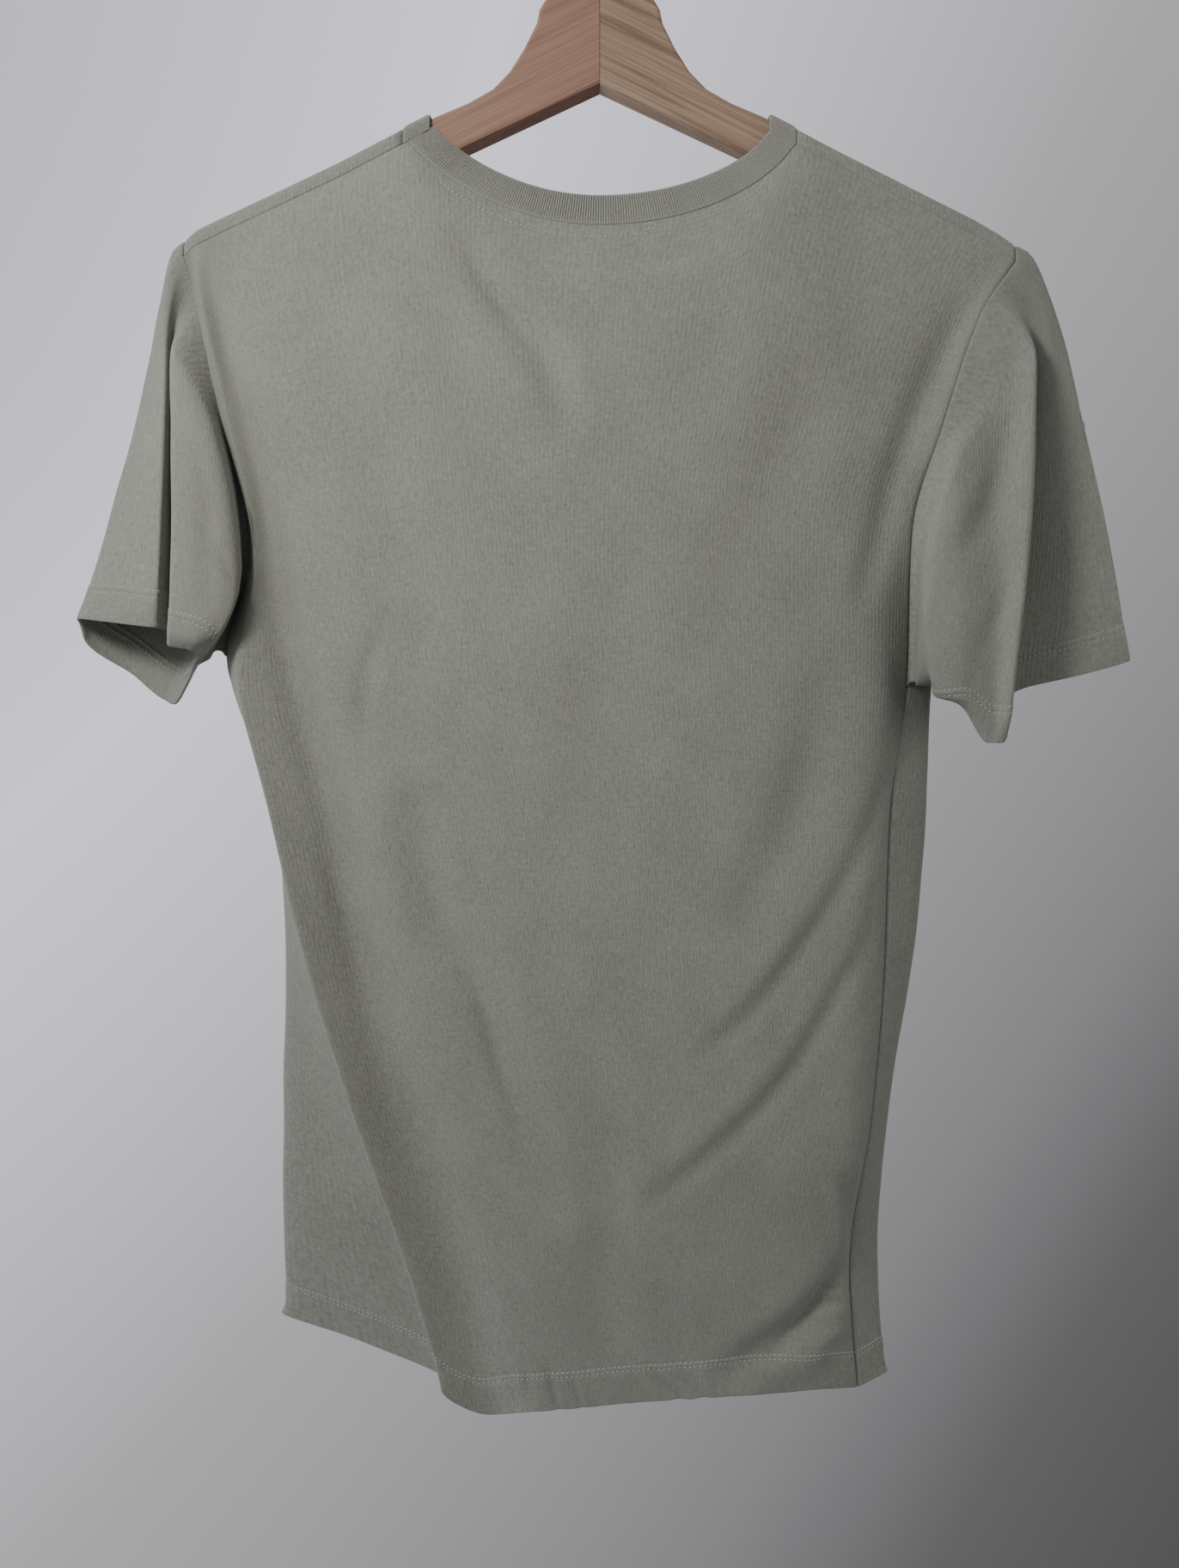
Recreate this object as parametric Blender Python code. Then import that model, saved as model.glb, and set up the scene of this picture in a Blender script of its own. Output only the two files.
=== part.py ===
"""A short-sleeved crew-neck t-shirt that hangs, back to the viewer, on a mitred wooden hanger.

The origin is the inside top of the hook. +Z is up, +X runs along the hanger and the back of
the shirt faces -Y. Lengths in the tables are millimetres and the model is made in metres.
"""
import math

import bmesh
import bpy
import numpy as np

MM = 0.001

# Driving dimensions, in millimetres.
CLOTH = 1.0                  # thickness of the jersey wall
RIB_CLOTH = 1.8              # thickness of the doubled rib
SEAM_GAP = 0.3               # clearance between pieces that are sewn together
RIB_WIDTH = 16.0             # height of the neck rib
NECK_HALF = 110.0            # half the width of the neck at the rib's seam
BACK_NECK_DROP = 55.6        # from the neck points down to the back neck seam
FRONT_NECK_DROP = 88.0       # from the shoulder seam's end down to the front neck seam
NECK_POINT = 107.0           # from the middle to where the rib's seam crosses the shoulder
SHOULDER_TOP = -141.5        # height of the shoulder line at the neck points
SHOULDER_SLOPE = 0.505       # drop of the shoulder line for each millimetre outwards
SEAM_BELOW_TOP = 10.0        # the shoulder seam lies this far down the back
FRONT_BELOW_TOP = 14.0       # where the front starts to bend over the hanger
EDGE_DEPTH = 8.0             # the panels' upper edges lie this far from the middle plane
BACK_NECK_SAG = 3.0          # the back neck seam swings out this much further in its middle
FRONT_NECK_SAG = 7.0         # and the front neck seam this much
SLEEVE_ROOT = 4.5            # first stretch of a sleeve, where it leaves the armhole outwards

HANGER_HALF_WIDTH = 220.0
ARM_THICKNESS = 12.0
ARM_BEVEL = 2.0
ARM_CLEARANCE = 2.25         # from the wood up to the outside of the cloth
MITRE_GAP = 0.15             # each arm stops this far from the middle plane
WIRE_RADIUS = 1.8
HOOK_INSIDE_RADIUS = 20.0
HOOK_BORE_DEPTH = 24.0
BLOCK_TOP = -66.0

# The eye from which widths and heights in the tables were taken, and its distance from the
# hanger's face. A place that lies deeper is spread away from the eye by the same rule.
EYE = (-5.6, -500.5)
EYE_DISTANCE = 619.0
FACE_DEPTH = -6.0

# Steps of the lofts: across each stretch between two lines, and along each piece.
BACK_STEPS = (1, 2, 2, 2, 2, 2, 20, 2)
FRONT_STEPS = (1, 3, 18, 4)
LOWER_STEPS = 18
UPPER_STEPS = 12
SLEEVE_STEPS = 14

# Lines down the back, from the viewer's left to right. Each place is (across, height, depth)
# at the hem, hip, seat, waist, chest, armpit and the low, middle and high armhole.
BACK_LINES = {
    "seam_left": ((-162, -783, 66), (-160, -742, 62), (-158, -668, 58), (-155, -592, 54),
                  (-165, -518, 46), (-205, -431, 5), (-191.5, -377, 0), (-200, -303, 1),
                  (-217, -238, -2)),
    "turn_left": ((-174, -789, 52), (-174, -744, 46), (-173, -669, 42), (-171, -594, 38),
                  (-178, -519, 30), (-204, -433, 1), (-191, -377, -3), (-204.5, -303, -1.5),
                  (-219.5, -238, -4)),
    "recess": ((-131, -805, 34), (-140, -745, 30), (-152, -670, 28), (-164, -596, 24),
               (-174, -519, 15), (-203, -435, -4), (-190.5, -377, -6), (-207, -303, -5.5),
               (-220.5, -238, -6.5)),
    "ridge_foot": ((-84, -826, 20), (-104, -750, 16), (-132, -675, 12), (-157, -600, 7),
                   (-175, -519, -2), (-201, -437, -10), (-190, -377, -9), (-206, -303, -9.5),
                   (-220, -238, -8.5)),
    "ridge": ((-86, -833, -16), (-107, -766, -20), (-135, -684, -22), (-161, -603, -22),
              (-181, -520, -20), (-198, -439, -15), (-187.5, -377, -12), (-203, -303, -12),
              (-217.5, -238, -10)),
    "valley": ((-65, -845, -10), (-84, -766, -8), (-112, -684, -7), (-139, -603, -6),
               (-158, -520, -6), (-177, -439, -5), (-178, -377, -6), (-193, -303, -6),
               (-211, -238, -7)),
    "swell": ((-37, -843, -20), (-58, -766, -22), (-86, -684, -22), (-117, -603, -22),
              (-140, -520, -21), (-163, -439, -19), (-166, -377, -17), (-182, -303, -14),
              (-199, -238, -11)),
    "roll_right": ((125, -831, -6), (127, -766, -12), (140, -684, -16), (148, -603, -15),
                   (149, -520, -13), (150, -443, -13), (152, -365, -12), (175, -296, -8),
                   (196, -240, -7)),
    "seam_right": ((141, -830, 6), (137, -763, 2), (149, -684, -4), (156, -603, -2),
                   (159, -520, 0), (168, -448, 4), (171, -365, -8), (188, -303, -13),
                   (210, -240, -12)),
}
# Where those lines end on the shoulder seam, across.
BACK_TOP_ACROSS = (-227, -226.2, -225.2, -224, -221, -214, -205, 214, 227)
# How deep the middle of the back lies at each of those levels, and at the neck.
BACK_CROWN = (-22, -27, -30, -30, -29, -29, -28, -26, -21, -12)

# Lines down the front, from the right side seam round to the left one, at the same levels.
FRONT_LINES = {
    "seam_right": ((141, -830, 6), (137, -763, 2), (149, -684, -4), (156, -603, -2),
                   (159, -520, 0), (168, -448, 4), (186, -374, 16), (197, -303, 15),
                   (212, -240, 11)),
    "turn_right": ((157, -821, 20), (153, -753, 18), (159, -678, 12), (171, -606, 18),
                   (180, -523, 22), (182, -452, 19), (187, -374, 24), (196, -303, 20),
                   (209, -240, 13)),
    "chest_right": ((118, -820, 46), (118, -755, 45), (125, -680, 42), (135, -600, 42),
                    (140, -520, 42), (145, -445, 40), (150, -372, 34), (165, -303, 26),
                    (185, -240, 15)),
    "chest_left": ((-110, -806, 76), (-112, -745, 73), (-115, -670, 69), (-120, -594, 64),
                   (-128, -518, 57), (-150, -440, 42), (-160, -374, 32), (-180, -303, 22),
                   (-198, -238, 14)),
    "seam_left": ((-162, -783, 66), (-160, -742, 62), (-158, -668, 58), (-155, -592, 54),
                  (-165, -518, 46), (-205, -431, 5), (-194, -377, 16), (-206, -303, 14),
                  (-219, -238, 10)),
}
FRONT_TOP_ACROSS = (227, 223, 196, -196, -227)
FRONT_CROWN = (68, 66, 63, 59, 54, 48, 40, 31, 23, 16)

# How far each level follows the shape of the shoulders and neck, from the hem up.
LEVEL_LIFT = (0, 0, 0, 0, 0, 0, 0.25, 0.55, 0.82, 1)

# The front bends over the hanger along this path: depth, and height below the shoulder line.
OVER_THE_ARM = ((8.0, -4.5), (6.85, -1.3), (4.0, 0.0), (-4.0, 0.0), (-6.85, -1.3), (-8.0, -4.5),
                (-8.0, -10.0))

# Lines down each sleeve, round from the underarm over the back half, the crown and the front
# half. The first column is its share of the way round the armhole, and then come its places
# at the upper, middle and lower sleeve, the fold above the hem and the hem.
SLEEVE_LEFT_LINES = {
    "underarm": (0.00, (-213, -433, 4), (-219, -436, 7), (-224, -440, 12), (-228, -447, 18),
                 (-232, -457, 24)),
    "near_inner": (0.10, (-199, -392, -13), (-204, -404, -20), (-209, -416, -22),
                   (-214, -424, -20), (-219, -431, -14)),
    "near_middle": (0.25, (-215, -310, -11), (-219, -345, -26), (-220, -390, -31),
                    (-223, -422, -28), (-225, -427, -23)),
    "near_edge": (0.38, (-234, -262, -14), (-234, -320, -24), (-235, -375, -30),
                  (-237, -417, -28), (-237, -425, -22)),
    "crevice": (0.42, (-233, -262, -2), (-232, -320, 2), (-232, -375, 4), (-233, -408, 4),
                (-233, -417, 8)),
    "outer": (0.455, (-238, -262, -7), (-249, -325, -8), (-257, -380, -8), (-262, -405, -7),
              (-263, -414, -6)),
    "crown": (0.50, (-243, -259, 0), (-264, -335, 4), (-276, -380, 8), (-281, -396, 10),
              (-286, -410, 12)),
    "far_outer": (0.56, (-238, -262, 9), (-255, -325, 17), (-268, -380, 20), (-277, -406, 21),
                  (-282, -421, 22)),
    "far_middle": (0.72, (-215, -300, 16), (-232, -345, 26), (-243, -390, 32), (-250, -420, 34),
                   (-255, -441, 34)),
    "far_inner": (0.88, (-205, -380, 18), (-210, -395, 26), (-220, -415, 32), (-230, -435, 34),
                  (-239, -454, 33)),
}
SLEEVE_RIGHT_LINES = {
    "underarm": (0.00, (173, -447, 0), (179, -447, 0), (185, -447, 3), (191, -447, 7),
                 (197, -447, 12)),
    "near_inner": (0.10, (176, -395, -14), (178, -415, -18), (180, -435, -18), (183, -453, -10),
                   (189, -451, 0)),
    "near_middle": (0.23, (192, -330, -20), (197, -372, -25), (198, -415, -26), (200, -456, -22),
                    (201, -460, -10)),
    "cuff": (0.31, (215, -290, -17), (217, -350, -24), (217, -405, -28), (215, -462, -27),
             (212, -478, -20)),
    "near_edge": (0.39, (239, -262, -18), (238, -329, -26), (234, -394, -29), (226, -462, -27),
                  (222, -478, -20)),
    "crevice": (0.43, (236, -262, 0), (234, -329, 6), (230, -394, 10), (225, -438, 12),
                (224, -451, 14)),
    "outer": (0.465, (246, -262, -3), (254, -329, 4), (259, -390, 8), (259, -425, 10),
              (259, -442, 12)),
    "crown": (0.50, (253, -262, 0), (271, -329, 4), (283, -390, 6), (287, -418, 8),
              (290, -433, 10)),
    "far_outer": (0.56, (246, -265, 10), (262, -329, 16), (272, -388, 22), (277, -415, 24),
                  (280, -432, 26)),
    "far_middle": (0.72, (222, -310, 18), (235, -355, 28), (240, -400, 34), (242, -425, 36),
                   (243, -438, 36)),
    "far_inner": (0.88, (195, -390, 20), (200, -405, 28), (206, -425, 32), (210, -438, 34),
                  (213, -446, 34)),
}
SLEEVE_STOPS = (0.0, 0.07, 0.25, 0.5, 0.72, 0.87, 1.0)
# How evenly the columns of the sleeve are spaced at those stops, below the armhole.
SLEEVE_EVENNESS = (0.15, 0.35, 0.5, 0.6, 0.6)

# Folds of the back and front: start, middle and end as (across, height), depth into the
# cloth and half width.
BACK_FOLDS = {
    "armpit_soft": ((125, -449), (112, -505), (80, -576), 5.0, 17.0),
    "armpit_upper": ((154, -492), (118, -578), (66, -647), 6.0, 11.0),
    "armpit_lower": ((152, -556), (112, -637), (32, -721), 6.0, 11.0),
    "hem_corner": ((137, -762), (116, -792), (72, -822), 7.0, 10.0),
    "from_the_neck": ((-72, -208), (-43, -249), (-18, -298), 4.0, 11.0),
    "long_left": ((-101, -516), (-69, -611), (-27, -730), 4.0, 15.0),
}
FRONT_FOLDS = {
    "armpit_right": ((150, -470), (105, -560), (40, -660), 6.0, 14.0),
    "armpit_left": ((-150, -470), (-95, -580), (-60, -720), 7.0, 14.0),
    "long_middle": ((5, -420), (-5, -600), (10, -790), 6.0, 18.0),
    "hip_right": ((120, -640), (95, -740), (60, -800), 5.0, 13.0),
}


def smooth(stops, values, at):
    """Curve through values at rising stops, with no overshoot, read at the given places."""
    stops = np.asarray(stops, float)
    values = np.asarray(values, float)
    at = np.asarray(at, float)
    step = np.diff(stops).reshape((-1,) + (1,) * (values.ndim - 1))
    slope = np.diff(values, axis=0) / step
    same_way = slope[:-1] * slope[1:] > 0
    weight_a = 2 * step[1:] + step[:-1]
    weight_b = step[1:] + 2 * step[:-1]
    total = weight_a + weight_b
    safe_a = np.where(same_way, slope[:-1], 1.0)
    safe_b = np.where(same_way, slope[1:], 1.0)
    inner = np.where(same_way, total / (weight_a / safe_a + weight_b / safe_b), 0.0)
    tangent = np.concatenate((slope[:1], inner, slope[-1:]))
    cell = np.clip(np.searchsorted(stops, at, side="right") - 1, 0, len(stops) - 2)
    width = stops[cell + 1] - stops[cell]
    t = ((at - stops[cell]) / width).reshape((-1,) + (1,) * (values.ndim - 1))
    width = width.reshape(t.shape)
    start = (2 * t ** 3 - 3 * t ** 2 + 1) * values[cell]
    start_bend = (t ** 3 - 2 * t ** 2 + t) * width * tangent[cell]
    end = (3 * t ** 2 - 2 * t ** 3) * values[cell + 1]
    end_bend = (t ** 3 - t ** 2) * width * tangent[cell + 1]
    return start + start_bend + end + end_bend


def spread(places):
    """Carry places from the hanger's plane, as the eye sees them, to their own depth."""
    places = np.asarray(places, float)
    scale = (EYE_DISTANCE + places[..., 2] - FACE_DEPTH) / EYE_DISTANCE
    across = EYE[0] + (places[..., 0] - EYE[0]) * scale
    height = EYE[1] + (places[..., 1] - EYE[1]) * scale
    return np.stack((across, places[..., 2], height), axis=-1)


def as_seen(places):
    """The opposite of spread: true places carried to where the eye sees them."""
    scale = (EYE_DISTANCE + places[..., 1] - FACE_DEPTH) / EYE_DISTANCE
    across = EYE[0] + (places[..., 0] - EYE[0]) / scale
    height = EYE[1] + (places[..., 2] - EYE[1]) / scale
    return np.stack((across, height, places[..., 1]), axis=-1)


def even_steps(counts):
    """Places across a row of lines, with the given number of steps between each pair."""
    places = [0.0]
    for line, count in enumerate(counts):
        places += [line + (step + 1) / count for step in range(count)]
    return np.array(places)


def shoulder(across):
    """Height of the shoulder line, on the outside of the cloth."""
    return SHOULDER_TOP - SHOULDER_SLOPE * (np.abs(across) - NECK_POINT)


def back_neck(across):
    """Height of the back neck seam, which is rounder towards the viewer's right."""
    inside = np.clip(1 - (across / NECK_HALF) ** 2, 0, 1)
    return SHOULDER_TOP - BACK_NECK_DROP * inside ** np.where(across < 0, 0.8, 0.62)


def front_neck(across):
    """Height of the front neck seam."""
    inside = np.clip(1 - (across / NECK_POINT) ** 2, 0, 1)
    return shoulder(NECK_POINT) - FRONT_BELOW_TOP - FRONT_NECK_DROP * inside ** 0.6


def back_top(across):
    """Height of the back's upper edge: shoulder seams on both sides of the neck seam."""
    return np.minimum(shoulder(across) - SEAM_BELOW_TOP, back_neck(across))


def front_top(across):
    """Height of the front's edge before it bends over the hanger, and of its neck seam."""
    return np.minimum(shoulder(across) - FRONT_BELOW_TOP, front_neck(across))


def panel(lines, steps, wide, top_across, top_height, top_depth, crown, neck_points):
    """Grid of places for a body panel, from hem to top edge, and its columns at the neck."""
    table = np.array([list(line) for line in lines.values()], float)
    top_across = np.array(top_across, float)
    top = np.stack((top_across, np.full(len(top_across), top_depth), top_height(top_across)), -1)
    table = np.concatenate((table, as_seen(top)[:, None, :]), axis=1)
    places = even_steps(steps)
    fraction = np.clip(places - wide, 0, 1)
    ends = top_across[wide], top_across[wide + 1]
    for point in neck_points:
        wanted = (point - ends[0]) / (ends[1] - ends[0])
        nearest = np.argmin(np.abs(fraction - wanted) + 9.0 * (np.abs(places - wide - 0.5) > 0.5))
        places[nearest] += wanted - fraction[nearest]
        fraction[nearest] = wanted
    grid = smooth(np.arange(len(table)), table, places)
    middle = (places > wide) & (places < wide + 1)
    part = fraction[middle]
    arch = np.sin(np.pi * part) ** 0.7
    for level, lift in enumerate(LEVEL_LIFT):
        chord = np.outer(1 - part, table[wide, level]) + np.outer(part, table[wide + 1, level])
        top_chord = ends[0] + (ends[1] - ends[0]) * part
        level_top = top_height(np.array(ends))
        chord[:, 1] += lift * (top_height(top_chord) - level_top[0] * (1 - part) - level_top[1] * part)
        chord[:, 2] += (crown[level] - chord[:, 2]) * arch
        grid[middle, level] = chord
    levels = np.concatenate((np.linspace(0, 5, LOWER_STEPS + 1), np.linspace(5, 9, UPPER_STEPS + 1)[1:]))
    rows = smooth(np.arange(10), np.swapaxes(grid, 0, 1), levels)
    columns = [int(np.argmin(np.abs(places - wide - (p - ends[0]) / (ends[1] - ends[0]))))
               for p in neck_points]
    return rows, columns


def fold_depth(places, folds):
    """How far each place is pushed into the cloth by the folds: a trough with soft banks."""
    total = np.zeros(places.shape[:2])
    for start, middle, end, depth, half in folds.values():
        t = np.linspace(0, 1, 25)
        bend = 2 * np.array(middle) - (np.array(start) + np.array(end)) / 2
        path = np.outer((1 - t) ** 2, start) + np.outer(2 * t * (1 - t), bend) + np.outer(t ** 2, end)
        away = np.linalg.norm(places[:, :, None, :2] - path[None, None], axis=3)
        nearest = away.argmin(axis=2)
        reach = away.min(axis=2) / half
        along = np.sin(np.pi * (0.08 + 0.84 * t[nearest])) ** 0.8
        total += depth * along * (1 - 0.9 * reach ** 2) * np.exp(-reach ** 2 / 1.4)
    return total


def unit(vectors):
    """Vectors of length one."""
    return vectors / np.maximum(np.linalg.norm(vectors, axis=-1, keepdims=True), 1e-9)


def outward(points, around=False):
    """Normals of a grid whose columns run round the piece and rows run upwards."""
    ring = np.concatenate((points, points[:, :1]), axis=1) if around else points
    rising = ring[1:, 1:] - ring[:-1, :-1]
    falling = ring[1:, :-1] - ring[:-1, 1:]
    cells = unit(np.cross(rising, falling))
    total = np.zeros(ring.shape)
    for row in (0, 1):
        for column in (0, 1):
            total[row:row + cells.shape[0], column:column + cells.shape[1]] += cells
    if around:
        total[:, 0] += total[:, -1]
        total = total[:, :-1]
    total = unit(total) * 0.5 + total / 8
    rows = unit(np.gradient(points, axis=0))
    bend = unit(np.roll(points, 1, axis=1) - points) + unit(np.roll(points, -1, axis=1) - points)
    bend -= rows * np.sum(bend * rows, axis=2, keepdims=True)
    if not around:
        bend[:, [0, -1]] = 0.0
    closed = np.linalg.norm(bend, axis=2, keepdims=True)
    sharp = np.clip(closed - 0.8, 0, 1)
    facing = np.sign(np.sum(bend * total, axis=2, keepdims=True))
    mitre = 1 / np.clip(np.sqrt(np.clip(1 - (closed / 2) ** 2, 0, 1)), 0.4, 1)
    return unit(total * (1 - sharp) + 2 * bend * facing * sharp) * mitre


def wall(name, outer, inner, material, around=False, hidden=None):
    """Closed wall between two grids, open where cells are hidden, with rims on every edge."""
    rows, columns = outer.shape[:2]
    cells = columns if around else columns - 1
    shown = np.ones((rows - 1, cells), bool)
    if hidden is not None:
        shown &= ~hidden
    points = np.concatenate((outer.reshape(-1, 3), inner.reshape(-1, 3))) * MM
    count = rows * columns
    faces = []
    edges = {}
    for row in range(rows - 1):
        for column in range(cells):
            if not shown[row, column]:
                continue
            after = (column + 1) % columns
            ring = (row * columns + column, row * columns + after,
                    (row + 1) * columns + after, (row + 1) * columns + column)
            rising = np.linalg.norm(points[ring[2]] - points[ring[0]])
            falling = np.linalg.norm(points[ring[3]] - points[ring[1]])
            turn = 0 if rising < falling else 1
            for cut in ((0, 1, 2), (0, 2, 3)):
                half = tuple(ring[(turn + corner) % 4] for corner in cut)
                faces.append(half)
                faces.append(tuple(count + corner for corner in reversed(half)))
            for side in range(4):
                pair = (ring[side], ring[(side + 1) % 4])
                if pair[::-1] in edges:
                    del edges[pair[::-1]]
                else:
                    edges[pair] = True
    faces += [(b, a, count + a, count + b) for a, b in edges]
    used = sorted({corner for face in faces for corner in face})
    place = {old: new for new, old in enumerate(used)}
    mesh = bpy.data.meshes.new(name)
    mesh.from_pydata([points[old] for old in used], [], [[place[c] for c in face] for face in faces])
    mesh.validate()
    mesh.shade_smooth()
    return add_object(name, mesh, material)


def add_object(name, mesh, material):
    """Put a mesh in the object's collection under its name."""
    piece = bpy.data.objects.new(name, mesh)
    mesh.materials.clear()
    mesh.materials.append(material)
    bpy.data.collections["t_shirt_on_hanger"].objects.link(piece)
    return piece


def finish(name, colour, roughness, metallic=0.0):
    """Plain surface finish."""
    material = bpy.data.materials.new(name)
    material.use_nodes = True
    shader = material.node_tree.nodes["Principled BSDF"]
    shader.inputs["Base Color"].default_value = (*colour, 1.0)
    shader.inputs["Roughness"].default_value = roughness
    shader.inputs["Metallic"].default_value = metallic
    return material


def drape(rows, folds):
    """Places carried to their own depth and pushed in by their folds, but not at side seams."""
    flat = spread(rows)
    normal = unit(outward(flat))
    depth = fold_depth(rows, folds)
    edge = np.ones(rows.shape[1])
    edge[[0, -1]] = 0.0
    edge[[1, -2]] = 0.6
    return flat - normal * (depth * edge)[:, :, None]


def over_the_arm(rows):
    """Rows that carry the front's upper edge over the hanger's arm to the shoulder seam."""
    across = rows[-1, :, 0]
    extra = [np.stack((across, np.full(len(across), depth), shoulder(across) + height), axis=-1)
             for depth, height in OVER_THE_ARM]
    return np.concatenate((rows, np.array(extra)), axis=0)


def top_depth(across, sag):
    """How far a panel's upper edge lies from the middle plane: furthest in the neck's middle."""
    return EDGE_DEPTH + sag * np.clip(1 - (across / NECK_POINT) ** 2, 0, 1)


def lay_out_body():
    """The back's and the front's grids, whose normals agree along the side seams."""
    back_rows, back_neck_columns = panel(
        BACK_LINES, BACK_STEPS, 6, BACK_TOP_ACROSS, back_top, -EDGE_DEPTH, BACK_CROWN,
        (-NECK_POINT, NECK_POINT))
    front_rows, front_neck_columns = panel(
        FRONT_LINES, FRONT_STEPS, 2, FRONT_TOP_ACROSS, front_top, EDGE_DEPTH, FRONT_CROWN,
        (NECK_POINT, -NECK_POINT))
    back = drape(back_rows, BACK_FOLDS)
    back[-1, back_neck_columns, 0] = -NECK_POINT, NECK_POINT
    back[-1, :, 1] = -top_depth(back[-1, :, 0], BACK_NECK_SAG)
    back[-1, :, 2] = back_top(back[-1, :, 0]) - SEAM_GAP
    front = drape(front_rows, FRONT_FOLDS)
    armpit = LOWER_STEPS + 1
    front[:armpit, 0] = back[:armpit, -1]
    front[:armpit, -1] = back[:armpit, 0]
    front[-1, front_neck_columns, 0] = NECK_POINT, -NECK_POINT
    front[-1, :, 1] = top_depth(front[-1, :, 0], FRONT_NECK_SAG)
    front[-1, :, 2] = front_top(front[-1, :, 0])
    front = over_the_arm(front)
    back_normal = outward(back)
    front_normal = outward(front)
    for back_edge, front_edge in ((-1, 0), (0, -1)):
        shared = unit(back_normal[:armpit, back_edge] + front_normal[:armpit, front_edge])
        back_normal[:armpit, back_edge] = shared
        front_normal[:armpit, front_edge] = shared
    for grid in (back, front):
        grid[:, 0] += SEAM_GAP / 2 * unit(grid[:, 1] - grid[:, 0])
        grid[:, -1] += SEAM_GAP / 2 * unit(grid[:, -2] - grid[:, -1])
    hidden = np.zeros((front.shape[0] - 1, front.shape[1] - 1), bool)
    hidden[LOWER_STEPS + UPPER_STEPS:, front_neck_columns[0]:front_neck_columns[1]] = True
    return {"back": back, "back_normal": back_normal, "back_neck": back_neck_columns,
            "front": front, "front_normal": front_normal, "front_neck": front_neck_columns,
            "hidden": hidden}


def make_rib(body, rib):
    """The neck rib, a strip that starts from the panels' own points along the neck seam."""
    first, last = body["back_neck"]
    top = LOWER_STEPS + UPPER_STEPS
    right, left = body["front_neck"]
    back_row, front = body["back"][-1], body["front"]
    seam = list(back_row[first:last + 1])
    normal = list(body["back_normal"][-1, first:last + 1])
    over = range(front.shape[0] - 2, top, -1)
    seam += [front[row, right] for row in over]
    normal += [body["front_normal"][row, right] for row in over]
    seam += list(front[top, right:left + 1])
    normal += list(body["front_normal"][top, right:left + 1])
    seam += [front[row, left] for row in reversed(over)]
    normal += [body["front_normal"][row, left] for row in reversed(over)]
    seam = np.array(seam)
    normal = np.array(normal)
    along = np.roll(seam, -1, axis=0) - np.roll(seam, 1, axis=0)
    over_the_wood = np.abs(seam[:, :1]) > NECK_POINT - 0.1
    with_the_slope = np.stack((-np.sign(seam[:, 0]), np.zeros(len(seam)),
                               np.full(len(seam), SHOULDER_SLOPE)), axis=-1)
    up = np.cross(normal, along)
    up[:, 1] = 0.0
    up = unit(np.where(over_the_wood, with_the_slope, unit(up)))
    for smoothing in range(4):
        softer = unit(np.roll(up, 1, axis=0) + 2 * up + np.roll(up, -1, axis=0))
        up = np.where(over_the_wood, up, softer)
    normal = unit(np.cross(along, up))
    proud = (RIB_CLOTH - CLOTH) / 2
    heights = (SEAM_GAP, SEAM_GAP + RIB_WIDTH * 0.5, SEAM_GAP + RIB_WIDTH)
    outer = np.array([seam + up * height + normal * proud for height in heights])
    wall("neck_rib", outer, outer - RIB_CLOTH * normal, rib, around=True)


def armhole(body, what, side, inset=0):
    """Places or normals round an armhole: up the back's edge and down the front's."""
    back, front = body["back" + what], body["front" + what]
    back_edge, front_edge = (-1 - inset, inset) if side > 0 else (inset, -1 - inset)
    top = LOWER_STEPS + UPPER_STEPS
    return np.concatenate((back[LOWER_STEPS:top + 1, back_edge], front[-2:LOWER_STEPS:-1, front_edge]))


def sleeve_grid(lines, body, side):
    """Rings of places from the armhole's own points, down the sleeve's lines to its hem."""
    ring = armhole(body, "", side)
    into_panel = unit(armhole(body, "", side, inset=1) - ring)
    step = np.linalg.norm(np.roll(ring, -1, axis=0) - ring, axis=1)
    share = np.concatenate(([0.0], np.cumsum(step)[:-1])) / step.sum()
    shares = np.array([row[0] for row in lines.values()])
    places = spread([row[1:] for row in lines.values()])
    wrapped_shares = np.concatenate((shares[-2:] - 1, shares, shares[:2] + 1))
    wrapped = np.concatenate((places[-2:], places, places[:2]))
    even = np.arange(len(ring)) / len(ring)
    stops = [ring]
    for level, evenness in enumerate(SLEEVE_EVENNESS):
        mixed = share + evenness * (even - share)
        stops.append(smooth(wrapped_shares, wrapped[:, level], mixed))
    stops = np.array(stops)
    along = unit(np.roll(ring, -1, axis=0) - np.roll(ring, 1, axis=0))
    leave = unit(stops[1] - ring)
    leave = unit(leave - along * np.sum(leave * along, axis=1, keepdims=True))
    leave = unit(leave + np.array((side, 0.0, 0.0)))
    root = ring + SLEEVE_ROOT * leave
    folded = np.maximum(np.sum(leave * into_panel, axis=1, keepdims=True), 0.0)
    stops[0] += 1.5 * SEAM_GAP * unit(leave - folded * into_panel)
    stops = np.concatenate((stops[:1], root[None], stops[1:]))
    return smooth(SLEEVE_STOPS, stops, np.linspace(0, 1, SLEEVE_STEPS + 1))[::-1]


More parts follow.
